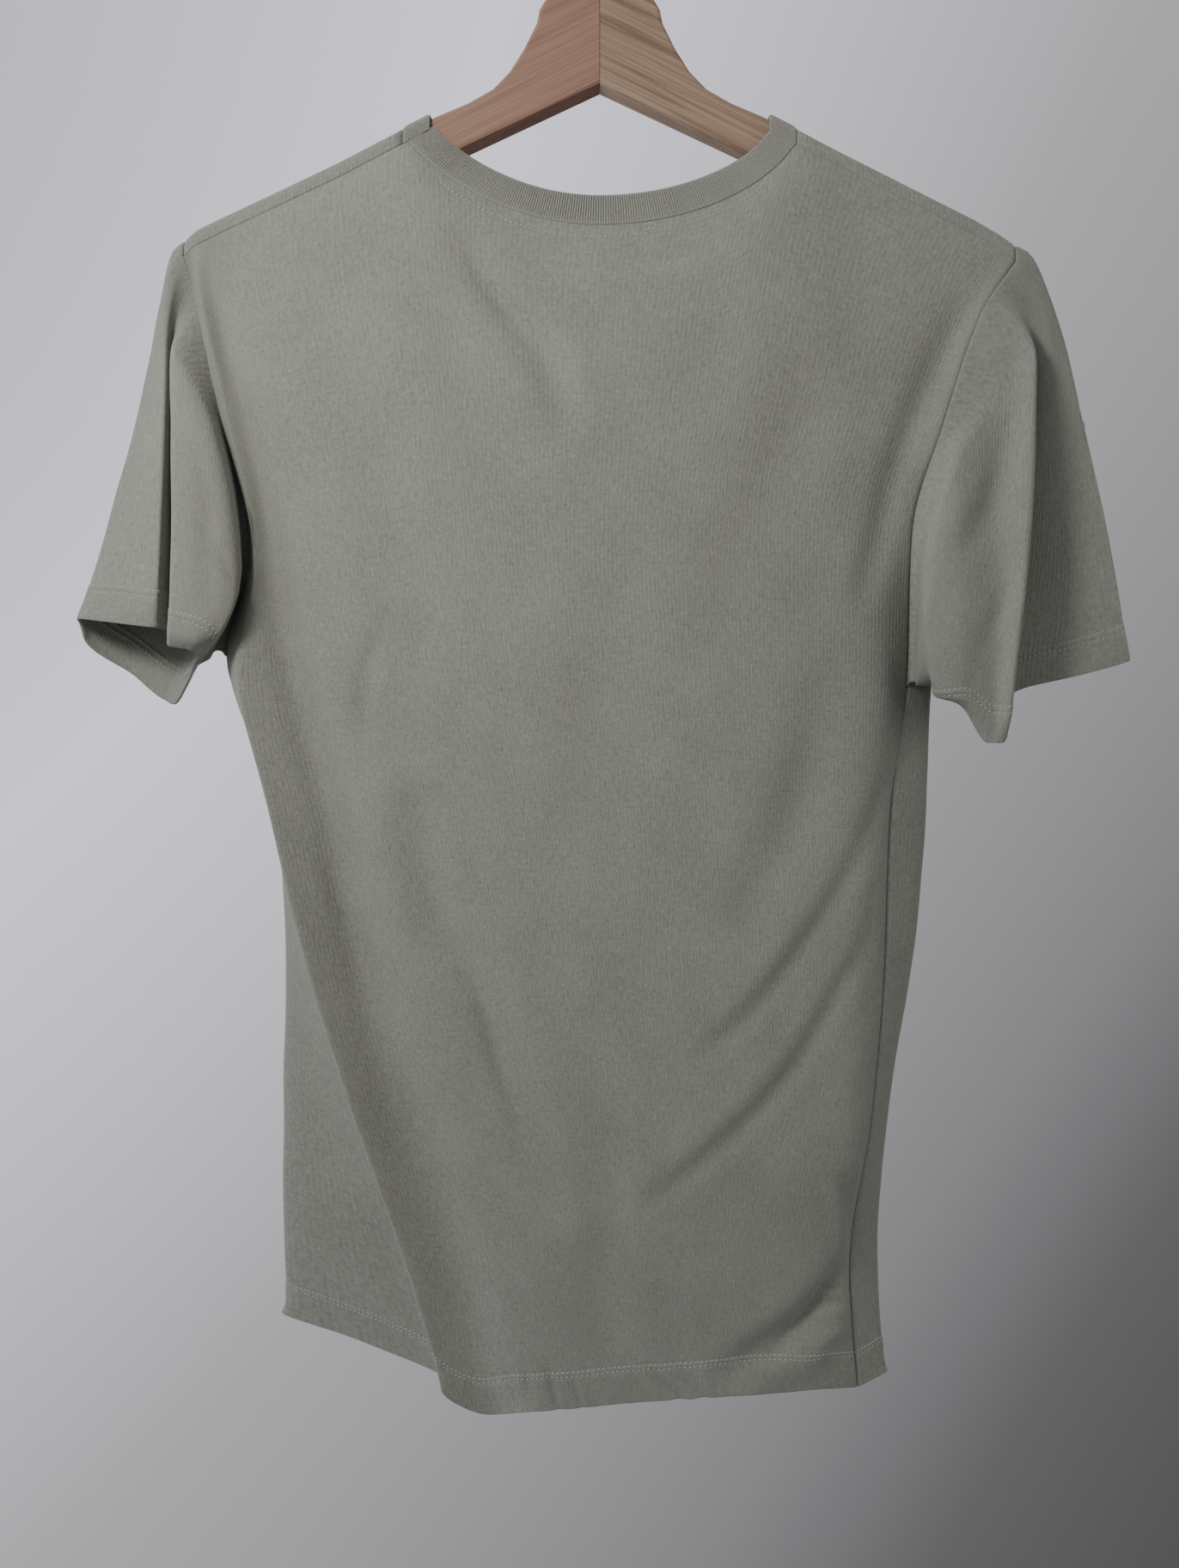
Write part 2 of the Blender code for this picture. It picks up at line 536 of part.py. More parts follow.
def make_sleeve(name, lines, body, side, jersey):
    """A sleeve's wall, whose normals agree with the panels' where they face the same way."""
    grid = sleeve_grid(lines, body, side)[:, ::side]
    normal = outward(grid, around=True)
    own = normal[-1, ::side]
    theirs = armhole(body, "_normal", side)
    agree = np.sum(own * theirs, axis=1, keepdims=True) > 0
    agree[0] = False
    shared = unit(own + theirs)
    normal[-1] = np.where(agree, shared, own)[::side]
    theirs = np.where(agree, shared, theirs)
    back_edge, front_edge = (-1, 0) if side > 0 else (0, -1)
    body["back_normal"][LOWER_STEPS:, back_edge] = theirs[:UPPER_STEPS + 1]
    body["front_normal"][-2:LOWER_STEPS:-1, front_edge] = theirs[UPPER_STEPS + 1:]
    body["front_normal"][-1, front_edge] = body["back_normal"][-1, back_edge]
    wall(name, grid, grid - CLOTH * normal, jersey, around=True)


def make_panels(body, jersey):
    """The walls of the back and the front, once every seam's normals are agreed."""
    wall("back_panel", body["back"], body["back"] - CLOTH * body["back_normal"], jersey)
    wall("front_panel", body["front"], body["front"] - CLOTH * body["front_normal"], jersey,
         hidden=body["hidden"])


def arm_outline():
    """Half of the hanger, drawn from its mitre outwards: across and height."""
    slope = SHOULDER_SLOPE
    top_line = SHOULDER_TOP - ARM_CLEARANCE
    end_top = top_line - slope * (HANGER_HALF_WIDTH - NECK_POINT - 8)
    end = HANGER_HALF_WIDTH
    crown = [(MITRE_GAP, BLOCK_TOP), (27.0, BLOCK_TOP), (33.0, BLOCK_TOP - 10.0)]
    flare = [(34.5, -83.5), (41.4, -97.5), (49.6, -110.5), (58.8, -120.0), (72.0, -127.5),
             (90.0, top_line + slope * (NECK_POINT - 90.0))]
    tip = [(end - 8.0, end_top), (end - 2.5, end_top - 5.0), (end, end_top - 11.0),
           (end - 2.5, end_top - 17.0), (end - 8.0, end_top - 20.0)]
    under = [(74.0, -152.0), (MITRE_GAP, -117.5)]
    return crown + flare + tip + under


def make_hanger(beech, pale_beech, steel):
    """Two mitred arms with a bore for the hook between them, and the wire hook."""
    bore = add_bore()
    for name, side, wood in (("hanger_arm_left", -1, beech), ("hanger_arm_right", 1, pale_beech)):
        curve = bpy.data.curves.new(name + "_outline", "CURVE")
        curve.dimensions = "2D"
        curve.fill_mode = "BOTH"
        curve.extrude = ARM_THICKNESS / 2 * MM
        outline = arm_outline()
        spline = curve.splines.new("POLY")
        spline.points.add(len(outline) - 1)
        for point, (across, height) in zip(spline.points, outline):
            point.co = (side * across * MM, height * MM, 0.0, 1.0)
        spline.use_cyclic_u = True
        drawing = bpy.data.objects.new(name + "_drawing", curve)
        bpy.context.scene.collection.objects.link(drawing)
        drawing.rotation_euler = (math.radians(90), 0.0, 0.0)
        bpy.context.view_layer.update()
        solid = drawing.evaluated_get(bpy.context.evaluated_depsgraph_get())
        mesh = bpy.data.meshes.new_from_object(solid)
        mesh.name = name
        mesh.transform(drawing.matrix_world)
        bpy.data.objects.remove(drawing)
        weld_and_ease(mesh)
        arm = add_object(name, mesh, wood)
        cut = arm.modifiers.new("hook_bore", "BOOLEAN")
        cut.operation = "DIFFERENCE"
        cut.object = bore
    make_hook(steel)


def weld_and_ease(mesh):
    """Join the caps of an extruded arm to its sides and ease its edges, but not at the mitre."""
    shape = bmesh.new()
    shape.from_mesh(mesh)
    bmesh.ops.remove_doubles(shape, verts=shape.verts, dist=0.00001)
    bmesh.ops.recalc_face_normals(shape, faces=shape.faces)
    bmesh.ops.dissolve_limit(shape, angle_limit=0.01, verts=shape.verts, edges=shape.edges)
    mitre = 2 * MITRE_GAP * MM
    eased = []
    for edge in shape.edges:
        ends = [corner.co for corner in edge.verts]
        along_a_face = abs(ends[0].y - ends[1].y) < 1e-6
        at_the_mitre = max(abs(end.x) for end in ends) < mitre
        if along_a_face and not at_the_mitre:
            eased.append(edge)
    bmesh.ops.bevel(shape, geom=eased, offset=ARM_BEVEL * MM, offset_type="OFFSET", segments=2,
                    profile=0.5, affect="EDGES")
    shape.to_mesh(mesh)
    shape.free()


def add_bore():
    """The cutter for the hook's bore, half in each arm."""
    depth = HOOK_BORE_DEPTH + 6.0
    bpy.ops.mesh.primitive_cylinder_add(
        vertices=12, radius=(WIRE_RADIUS + SEAM_GAP) * MM, depth=2 * depth * MM,
        location=(0.0, 0.0, (BLOCK_TOP - HOOK_BORE_DEPTH - SEAM_GAP + depth) * MM))
    bore = bpy.context.object
    bore.name = "bore_cutter"
    bore.hide_render = True
    bore.display_type = "WIRE"
    for owner in list(bore.users_collection):
        owner.objects.unlink(bore)
    bpy.data.collections["cutters"].objects.link(bore)
    return bore


def make_hook(steel):
    """The wire hook: a stem out of the bore, a bend and an open round hook."""
    radius = HOOK_INSIDE_RADIUS + WIRE_RADIUS
    centre = -HOOK_INSIDE_RADIUS
    path = [(0.0, BLOCK_TOP - HOOK_BORE_DEPTH + 0.3), (0.0, BLOCK_TOP), (0.0, -57.0), (1.2, -50.0),
            (5.5, -43.5)]
    first, last, steps = -48.0, 196.0, 22
    for step in range(steps + 1):
        angle = math.radians(first + (last - first) * step / steps)
        path.append((radius * math.cos(angle), centre + radius * math.sin(angle)))
    curve = bpy.data.curves.new("hanger_hook", "CURVE")
    curve.dimensions = "3D"
    curve.bevel_depth = WIRE_RADIUS * MM
    curve.bevel_resolution = 2
    curve.use_fill_caps = True
    spline = curve.splines.new("POLY")
    spline.points.add(len(path) - 1)
    for point, (across, height) in zip(spline.points, path):
        point.co = (across * MM, 0.0, height * MM, 1.0)
    hook = bpy.data.objects.new("hanger_hook", curve)
    curve.materials.append(steel)
    bpy.data.collections["t_shirt_on_hanger"].objects.link(hook)


for old in list(bpy.data.objects):
    bpy.data.objects.remove(old)
for collection_name in ("t_shirt_on_hanger", "cutters"):
    bpy.context.scene.collection.children.link(bpy.data.collections.new(collection_name))

jersey_finish = finish("sage_jersey", (0.30, 0.32, 0.25), 0.95)
rib_finish = finish("sage_rib", (0.27, 0.29, 0.22), 0.95)
body_grids = lay_out_body()
make_rib(body_grids, rib_finish)
make_sleeve("sleeve_left", SLEEVE_LEFT_LINES, body_grids, -1, jersey_finish)
make_sleeve("sleeve_right", SLEEVE_RIGHT_LINES, body_grids, 1, jersey_finish)
make_panels(body_grids, jersey_finish)
make_hanger(finish("beech", (0.50, 0.33, 0.20), 0.5), finish("pale_beech", (0.56, 0.42, 0.26), 0.5),
            finish("zinc_wire", (0.6, 0.6, 0.62), 0.3, 1.0))
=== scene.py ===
"""A short-sleeved crew-neck t-shirt that hangs, back to the viewer, on a mitred wooden hanger."""

import bpy
import numpy as np
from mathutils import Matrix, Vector, noise


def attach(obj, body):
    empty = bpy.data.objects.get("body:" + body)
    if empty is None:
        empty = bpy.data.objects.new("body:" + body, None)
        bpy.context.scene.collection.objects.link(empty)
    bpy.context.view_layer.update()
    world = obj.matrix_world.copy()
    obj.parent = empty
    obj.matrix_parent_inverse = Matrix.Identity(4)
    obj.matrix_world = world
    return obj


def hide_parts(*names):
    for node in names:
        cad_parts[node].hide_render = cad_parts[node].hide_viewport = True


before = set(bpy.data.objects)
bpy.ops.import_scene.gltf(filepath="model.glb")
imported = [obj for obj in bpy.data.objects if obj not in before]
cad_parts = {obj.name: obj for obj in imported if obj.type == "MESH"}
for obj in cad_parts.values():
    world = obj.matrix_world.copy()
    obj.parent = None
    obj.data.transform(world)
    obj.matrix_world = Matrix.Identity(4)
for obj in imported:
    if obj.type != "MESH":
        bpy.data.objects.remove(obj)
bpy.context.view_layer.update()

# Hanger arms: two beech boards, sawn to shape, sanded and oiled, and glued at a mitre in the
# middle. Their solids have the right shape, so they stay and get their wood here. The grain of
# each board runs along its arm.
ARM_LEAN = 0.468             # radians that the arms slope down from the middle


def new_material(name):
    """A new material, its tree and its shader."""
    material = bpy.data.materials.new(name)
    material.use_nodes = True
    return material, material.node_tree, material.node_tree.nodes["Principled BSDF"]


def fill(tree, node, inputs):
    """Link each named input of a node to an output, or give it a value."""
    for place, source in inputs.items():
        if isinstance(source, bpy.types.NodeSocket):
            tree.links.new(source, node.inputs[place])
        else:
            node.inputs[place].default_value = source


def add_node(tree, kind, inputs, **settings):
    """A new node with its settings made and its inputs filled."""
    node = tree.nodes.new("ShaderNode" + kind)
    for setting, value in settings.items():
        setattr(node, setting, value)
    fill(tree, node, inputs)
    return node


def cloudy(tree, place, size, detail, distortion=0.0):
    """Noise from 0 to 1 over a place, that many times finer along each axis as size says."""
    stretch = add_node(tree, "VectorMath", {0: place, 1: size}, operation="MULTIPLY")
    return add_node(tree, "TexNoise", {"Vector": stretch.outputs["Vector"], "Scale": 1.0,
                                       "Detail": detail, "Distortion": distortion}).outputs["Fac"]


def ramp(tree, value, *stops):
    """A colour that follows a value through stops, each a place and a colour."""
    node = add_node(tree, "ValToRGB", {"Fac": value})
    elements = node.color_ramp.elements
    for element, (place, colour) in zip(elements, (stops[0], stops[-1])):
        element.position = place
        element.color = (*colour, 1)
    for place, colour in stops[1:-1]:
        elements.new(place).color = (*colour, 1)
    return node.outputs["Color"]


def carry(tree, value, start, end, low=0.0, high=1.0):
    """A value's way from start to end, carried into low to high and held at both."""
    return add_node(tree, "MapRange", {"Value": value, "From Min": start, "From Max": end,
                                       "To Min": low, "To Max": high}).outputs["Result"]


def lay_over(tree, below, colour, share):
    """A colour laid over what is below it, by a share."""
    # The node's two colours go in at 6 and 7, and their mix comes out at 2.
    return add_node(tree, "Mix", {"Factor": share, 6: below, 7: (*colour, 1)},
                    data_type="RGBA").outputs[2]


def bumped(tree, height, strength, distance):
    """The surface's direction with a height's small bumps."""
    return add_node(tree, "Bump", {"Height": height, "Strength": strength,
                                   "Distance": distance}).outputs["Normal"]


def wood_finish(name, lean, light, dark, streak, streak_share):
    """Beech: long fine grain along the arm, short dark flecks and a few broad darker streaks."""
    material, tree, shader = new_material(name)
    place = add_node(tree, "TexCoord", {}).outputs["Object"]
    along = add_node(tree, "Mapping", {"Vector": place, "Rotation": (0.0, lean, 0.0)}).outputs["Vector"]
    grain = cloudy(tree, along, (16, 420, 1300), 5.0, 0.25)
    flecks = cloudy(tree, along, (170, 900, 1900), 2.0, 0.25)
    streaks = cloudy(tree, along, (9, 70, 300), 5.0, 0.25)
    colour = ramp(tree, grain, (0.32, dark), (0.66, light))
    colour = lay_over(tree, colour, dark, carry(tree, flecks, 0.64, 0.72, high=0.35))
    colour = lay_over(tree, colour, streak, carry(tree, streaks, 0.52, 0.66, high=streak_share))
    fill(tree, shader, {"Base Color": colour, "Roughness": carry(tree, grain, 0.0, 1.0, 0.42, 0.62),
                        "Normal": bumped(tree, grain, 0.35, 0.0003)})
    return material


# Each arm's node, and what its wood takes: name, lean, light, dark, streak and the streak's share.
for arm_name, *wood in (
        ("hanger_arm_left", "beech", ARM_LEAN, (0.375, 0.225, 0.155), (0.285, 0.16, 0.11),
         (0.2, 0.10, 0.065), 0.35),
        ("hanger_arm_right", "pale_beech", -ARM_LEAN, (0.41, 0.295, 0.205), (0.26, 0.165, 0.105),
         (0.13, 0.07, 0.045), 0.6)):
    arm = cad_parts[arm_name]
    arm.data.materials.clear()
    arm.data.materials.append(wood_finish(*wood))

# Glue: old brown glue fills the mitre's joint. A thin plate of it lies on either side of the
# hook's bore, between the two arms.
GLUE_THICK = 0.0002          # in metres, like the glue's other sizes
GLUE_DEEP = 0.0030
GLUE_FROM_MIDDLE = 0.0042
GLUE_INSET = 0.0006

glue, glue_tree, glue_shader = new_material("old_glue")
fill(glue_tree, glue_shader, {"Base Color": (0.16, 0.09, 0.055, 1), "Roughness": 0.6})
mitre = [corner.co.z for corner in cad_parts["hanger_arm_left"].data.vertices
         if abs(corner.co.x) < 0.0008]
for glue_name, glue_depth in (("glue_back", -GLUE_FROM_MIDDLE), ("glue_front", GLUE_FROM_MIDDLE)):
    bpy.ops.mesh.primitive_cube_add(size=1, location=(0, 0, 0))
    plate = bpy.context.object
    plate.name = glue_name
    for corner in plate.data.vertices:
        corner.co.x *= GLUE_THICK
        corner.co.y = glue_depth + GLUE_DEEP * corner.co.y
        corner.co.z = (max(mitre) - GLUE_INSET) if corner.co.z > 0 else (min(mitre) + GLUE_INSET)
    plate.data.materials.append(glue)
    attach(plate, "root")

# Hook: a zinc-plated steel wire, bent round and pressed into the bore between the arms. The
# photograph cuts it off, so it is finished plainly.
WIRE_THICK = 3.6
HOOK_MIDDLE = -20.0
HOOK_RADIUS = 21.8


def add_object(name, data):
    """A new object at the origin, in the scene."""
    item = bpy.data.objects.new(name, data)
    bpy.context.scene.collection.objects.link(item)
    return item


def hook_line():
    """The wire's middle line, from inside the bore round to its open end."""
    line = [(0, 0, -89.6), (0, 0, -75), (0, 0, -66), (0.05, 0, -61), (0.3, 0, -57), (1.2, 0, -52),
            (3.0, 0, -47.5), (6.0, 0, -43.2), (9.8, 0, -39.6)]
    for degrees in range(-48, 197, 4):
        angle = np.radians(degrees)
        line.append((HOOK_RADIUS * np.cos(angle), 0, HOOK_MIDDLE + HOOK_RADIUS * np.sin(angle)))
    return line


wire = bpy.data.curves.new("hook", "CURVE")
wire.dimensions = "3D"
wire.bevel_depth = WIRE_THICK / 2000
wire.bevel_resolution = 6
wire.use_fill_caps = True
wire_line = wire.splines.new("POLY")
wire_places = hook_line()
wire_line.points.add(len(wire_places) - 1)
for wire_point, wire_place in zip(wire_line.points, wire_places):
    wire_point.co = (*(value / 1000 for value in wire_place), 1)
bpy.ops.object.select_all(action="DESELECT")
hook = add_object("hook", wire)
bpy.context.view_layer.objects.active = hook
hook.select_set(True)
bpy.ops.object.convert(target="MESH")
hook = bpy.context.object
bpy.ops.object.shade_smooth_by_angle(angle=0.8)

zinc, zinc_tree, zinc_shader = new_material("zinc_wire")
zinc_place = add_node(zinc_tree, "TexCoord", {}).outputs["Object"]
zinc_bloom = cloudy(zinc_tree, zinc_place, (260, 260, 260), 4.0)
zinc_colour = ramp(zinc_tree, zinc_bloom, (0.0, (0.46, 0.47, 0.49)), (1.0, (0.68, 0.69, 0.70)))
fill(zinc_tree, zinc_shader, {"Metallic": 1.0, "Base Color": zinc_colour,
                              "Roughness": carry(zinc_tree, zinc_bloom, 0.0, 1.0, 0.22, 0.42)})
hook.data.materials.append(zinc)
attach(hook, "root")
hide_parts("hanger_hook")

# Body: a back and a front of fine single jersey, joined by overlocked side and shoulder seams.
# The cloth hangs from the hanger in its own folds. Both are laid out with the same lines as
# their solids, in millimetres, then eased, creased and set out again in finer rows.
JERSEY_THICK = 0.8
HEM_WIDTH = 20.5
HEM_NEEDLES = (17.9, 20.2)   # the two rows of the hem's coverstitch, from the edge
HEM_LAYER = 0.7
HEM_PUCKER = 0.22
SHOULDER_VALLEY = 0.1
FRONT_END = (5.5, 3.5, 1.4, 0.7, 0.0)    # how far the front's last rows are taken to be from its edge
NECK_HALF = 110.0
BACK_NECK_DROP = 55.6
FRONT_NECK_DROP = 88.0
NECK_POINT = 107.0
SHOULDER_TOP = -141.5
SHOULDER_SLOPE = 0.505
# How much fuller than a straight slope the shoulder line is, at these distances across.
SHOULDER_FULL_AT = (-227, -220, -207, -172, -142, -NECK_POINT, NECK_POINT, 125, 205, 218, 227)
SHOULDER_FULL = (-1.0, 1.6, 1.4, 0.2, -0.6, 0, 0, -0.6, -0.6, -1.6, -3.4)
SEAM_BELOW_TOP = 10.0
FRONT_BELOW_TOP = 14.0
EDGE_DEPTH = 8.0
BACK_NECK_SAG = 3.0
FRONT_NECK_SAG = 7.0
EYE = (-5.6, -500.5)         # where the photograph was taken from, across and up
EYE_DISTANCE = 619.0
FACE_DEPTH = -6.0
# Columns from each line of a panel to the next, and rows before and after it is creased.
BACK_STEPS = (6, 12, 14, 14, 10, 10, 96, 8)
FRONT_STEPS = (8, 16, 84, 20)
LOWER_STEPS = 96
UPPER_STEPS = 60
LOWER_ROWS = 128
UPPER_ROWS = 62
ARMPIT_LEVEL = 5             # the armpit's and the top edge's places in the lines below
TOP_LEVEL = 9
TROUGH_REACH = 3.2           # half widths that a crease's banks reach, and that a drop's do
DROP_REACH = 2.2
PANEL_PASSES = 14
PANEL_SLACK = 1.1
EDGE_SHARES = (0.22, 0.5)    # where columns are added between a side edge and the next column
RAW_EDGE = 0.35              # how soft the step at a hem's raw edge is

# Lines of the panels from the hem to the top edge. Each place is its distance across and its
# height as the eye sees them on the hanger's plane, and its true depth.
SIDE_LEFT = ((-162, -783, 66), (-160, -742, 62), (-158, -668, 58), (-155, -592, 54), (-165, -518, 46),
             (-205, -431, 5))
SIDE_RIGHT = ((141, -830, 6), (137, -763, 2), (149, -684, -4), (156, -603, -2), (159, -520, 0),
              (168, -448, 4))
BACK_LINES = {
    "seam_left": (*SIDE_LEFT, (-191.5, -377, 0), (-200, -303, 1), (-217, -238, -2)),
    "turn_left": ((-174, -789, 52), (-176.5, -744, 46), (-175.5, -669, 42), (-173, -594, 38),
        (-178, -519, 30), (-204, -433, 1), (-191, -377, -3), (-204.5, -303, -1.5), (-219.5, -238, -4)),
    "recess": ((-131, -805, 34), (-140, -745, 30), (-152, -670, 28), (-164, -596, 24), (-174, -519, 15),
        (-203, -435, -4), (-190.5, -377, -6), (-207, -303, -5.5), (-220.5, -238, -6.5)),
    "ridge_foot": ((-84, -826, 20), (-104, -750, 16), (-132, -675, 12), (-157, -600, 7),
        (-175, -519, -2), (-201, -437, -10), (-190, -377, -9), (-206, -303, -9.5), (-220, -238, -8.5)),
    "ridge": ((-86, -833, -16), (-107, -766, -20), (-135, -684, -22), (-161, -603, -22),
        (-181, -520, -20), (-198, -439, -15), (-187.5, -377, -12), (-203, -303, -12),
        (-217.5, -238, -10)),
    "valley": ((-61, -845, -10), (-78, -766, -8), (-105, -684, -6), (-129, -603, -5), (-145, -520, -4),
        (-166, -439, -4), (-177, -377, -6), (-192, -303, -6), (-210, -238, -7)),
    "swell": ((-34, -843, -20), (-53, -766, -22), (-80, -684, -22), (-107, -603, -22),
        (-126, -520, -21), (-149, -439, -19), (-162, -377, -17), (-180, -303, -14), (-197, -238, -11)),
    "roll_right": ((125, -831, -6), (127, -766, -12), (140, -684, -16), (148, -603, -15),
        (149, -520, -13), (150, -443, -13), (152, -365, -12), (175, -296, -8), (196, -240, -7)),
    "seam_right": (*SIDE_RIGHT, (171, -365, -8), (188, -303, -13), (210, -240, -12)),
}
BACK_TOP_ACROSS = (-227, -226.2, -225.2, -224, -221, -214, -205, 214, 227)
BACK_CROWN = (-22, -27, -30, -30, -29, -29, -28, -26, -21, -12)
FRONT_LINES = {
    "seam_right": (*SIDE_RIGHT, (186, -374, 16), (197, -303, 15), (212, -240, 11)),
    "turn_right": ((157, -821, 20), (153, -753, 18), (159, -678, 12), (171, -606, 18), (180, -523, 22),
        (182, -452, 19), (187, -374, 24), (196, -303, 20), (209, -240, 13)),
    "chest_right": ((118, -820, 46), (118, -755, 45), (125, -680, 42), (135, -600, 42), (140, -520, 42),
        (145, -445, 40), (150, -372, 34), (165, -303, 26), (185, -240, 15)),
    "chest_left": ((-110, -806, 76), (-112, -745, 73), (-115, -670, 69), (-120, -594, 64),
        (-128, -518, 57), (-150, -440, 42), (-160, -374, 32), (-180, -303, 22), (-198, -238, 14)),
    "seam_left": (*SIDE_LEFT, (-194, -377, 16), (-206, -303, 14), (-219, -238, 10)),
}
FRONT_TOP_ACROSS = (227, 223, 196, -196, -227)
FRONT_CROWN = (68, 66, 63, 59, 54, 48, 40, 31, 23, 16)
LEVEL_LIFT = (0, 0, 0, 0, 0, 0, 0.25, 0.55, 0.82, 1)    # how far each level follows the top edge
# The front's last rows, over the arm: each one's depth, and its height above the shoulder line.
OVER_THE_ARM = ((8.0, -4.5), (7.9, -3.2), (7.5, -2.1), (6.7, -1.2), (5.5, -0.4), (4.0, 0.0),
                (2.0, 0.15), (0.0, 0.2), (-2.0, 0.15), (-4.0, 0.0), (-5.5, -0.4), (-6.7, -1.2),
                (-7.5, -2.1), (-7.9, -3.2), (-8.0, -4.5), (-8.0, -6.5), (-8.0, -8.6), (-8.0, -10.0))

# Folds and creases: depth into the cloth, half width, and the line they follow. A depth below
# nothing is a ridge.
BACK_CREASES = {
    "armpit_soft": (3.0, 17, ((125, -449), (112, -505), (80, -576))),
    "armpit_upper": (1.5, 7.0, ((158, -500), (137, -548), (112, -588), (84, -624), (58, -648))),
    "armpit_lower": (1.6, 7.0, ((153, -560), (145, -590), (131, -614), (108, -654), (82, -684),
        (50, -712), (28, -729))),
    "beside_the_ridge": (1.5, 9, ((-205, -290), (-190, -350), (-179, -400), (-168, -448), (-155, -495),
        (-138, -570), (-125, -636), (-104, -704))),
    "hem_corner": (4.5, 10, ((137, -762), (116, -792), (72, -822))),
    "hem_corner_core": (2.0, 4.0, ((141, -761), (130, -770), (116, -792), (94, -816))),
    "hem_corner_crest": (-1.0, 7, ((143, -778), (128, -800), (104, -828))),
    "from_the_neck": (4.0, 11, ((-72, -208), (-54, -236), (-31, -265), (-18, -298))),
    "from_the_neck_core": (1.6, 4, ((-72, -208), (-66, -220), (-54, -236), (-43, -249))),
    "long_left": (4.0, 15, ((-101, -516), (-91, -575), (-69, -612), (-27, -730))),
    "long_left_core": (1.6, 5, ((-91, -575), (-69, -612), (-53, -664), (-44, -685))),
    "under_the_tape": (1.3, 5, ((-30, -206), (-8, -209), (29, -215), (62, -206))),
    "armhole_right": (2.4, 9, ((198, -241), (184, -271), (163, -324), (150, -378), (142, -401))),
    "elbow_of_ridge": (1.2, 6, ((-117, -410), (-126, -435), (-129, -456), (-129, -474))),
    "ridge_nick": (1.2, 4, ((-150, -548), (-142, -566), (-133, -581))),
    "ridge_nick_low": (1.1, 4, ((-118, -640), (-106, -668), (-99, -690))),
    "shoulder_blade_left": (2.2, 20, ((-150, -262), (-120, -330), (-96, -420))),
    "shoulder_blade_right": (1.8, 22, ((140, -262), (98, -330), (60, -420))),
    "middle_soft": (1.6, 24, ((18, -330), (4, -470), (26, -610))),
    "low_soft": (1.7, 20, ((-8, -640), (6, -730), (-2, -800))),
    "low_crest": (-1.5, 14, ((-40, -740), (-22, -790), (-14, -832))),
    "seam_kink": (2.4, 4.5, ((134, -716), (139, -738), (141, -760))),
    "seam_kink_bank": (-1.2, 5.0, ((126, -722), (131, -742), (134, -762))),
    "side_pucker_a": (1.4, 2.4, ((141, -774), (131, -776), (122, -777))),
    "side_pucker_b": (1.4, 2.4, ((141, -783), (130, -785), (120, -787))),
    "side_pucker_c": (1.3, 2.4, ((141, -793), (131, -795), (121, -798))),
    "side_pucker_d": (1.1, 2.4, ((141, -803), (132, -805), (124, -808))),
    "hem_pucker_a": (1.5, 2.6, ((-50, -822), (-47, -830), (-44, -842))),
    "hem_pucker_b": (1.5, 2.6, ((-41, -822), (-39, -832), (-37, -843))),
    "hem_pucker_c": (1.6, 2.8, ((-29, -821), (-26, -831), (-22, -843))),
    "hem_pucker_d": (1.1, 2.6, ((-16, -822), (-13, -832), (-9, -843))),
    "hem_pucker_e": (1.4, 3.0, ((26, -820), (36, -830), (50, -843))),
    "hem_pucker_f": (1.3, 3.0, ((44, -821), (52, -831), (64, -842))),
}
# Steps: where one layer of folds ends and the cloth drops, on the left hand of the line, and
# comes slowly up again: drop, width of the drop, reach of the hollow, and the line.
BACK_DROPS = {
    "armpit_upper": (2.6, 5.4, 32, ((160, -492), (137, -546), (112, -586), (84, -622), (54, -648))),
    "armpit_lower": (3.0, 5.4, 40, ((156, -556), (145, -588), (131, -612), (108, -652), (82, -682),
        (48, -711), (20, -732))),
}
FRONT_DROPS = {
    "armpit_right": (2.4, 5.0, 36, ((-152, -500), (-124, -566), (-92, -630), (-70, -690))),
}
FRONT_CREASES = {
    "armpit_right": (6.0, 14, ((150, -470), (105, -560), (40, -660))),
    "armpit_right_core": (1.4, 4, ((146, -478), (118, -530), (88, -586))),
    "armpit_right_crest": (-2.0, 9, ((155, -500), (126, -570), (82, -640))),
    "armpit_left": (7.0, 14, ((-150, -470), (-95, -580), (-60, -720))),
    "armpit_left_core": (1.5, 4, ((-140, -484), (-112, -540), (-88, -610))),
    "armpit_left_crest": (-2.0, 9, ((-150, -520), (-124, -590), (-96, -680))),
    "long_middle": (6.0, 18, ((5, -420), (-5, -600), (10, -790))),
    "hip_right": (5.0, 13, ((120, -640), (95, -740), (60, -800))),
    "hip_right_crest": (-1.6, 8, ((134, -680), (112, -750), (86, -806))),
    "chest_soft": (2.0, 24, ((-60, -300), (-40, -380), (-52, -470))),
    "chest_soft_right": (1.8, 22, ((70, -290), (58, -370), (72, -450))),
    "under_the_neck": (1.4, 7, ((-50, -262), (0, -274), (48, -262))),
    "shoulder_left": (1.4, 8, ((-184, -262), (-160, -310), (-146, -370))),
    "shoulder_right": (1.5, 8, ((182, -262), (160, -306), (148, -362))),
    "hem_pucker_left": (0.8, 3.0, ((-70, -800), (-66, -812), (-60, -826))),
    "hem_pucker_middle": (0.8, 3.2, ((30, -806), (34, -818), (42, -832))),
    "hem_pucker_right": (0.7, 3.0, ((88, -800), (92, -812), (96, -824))),
}


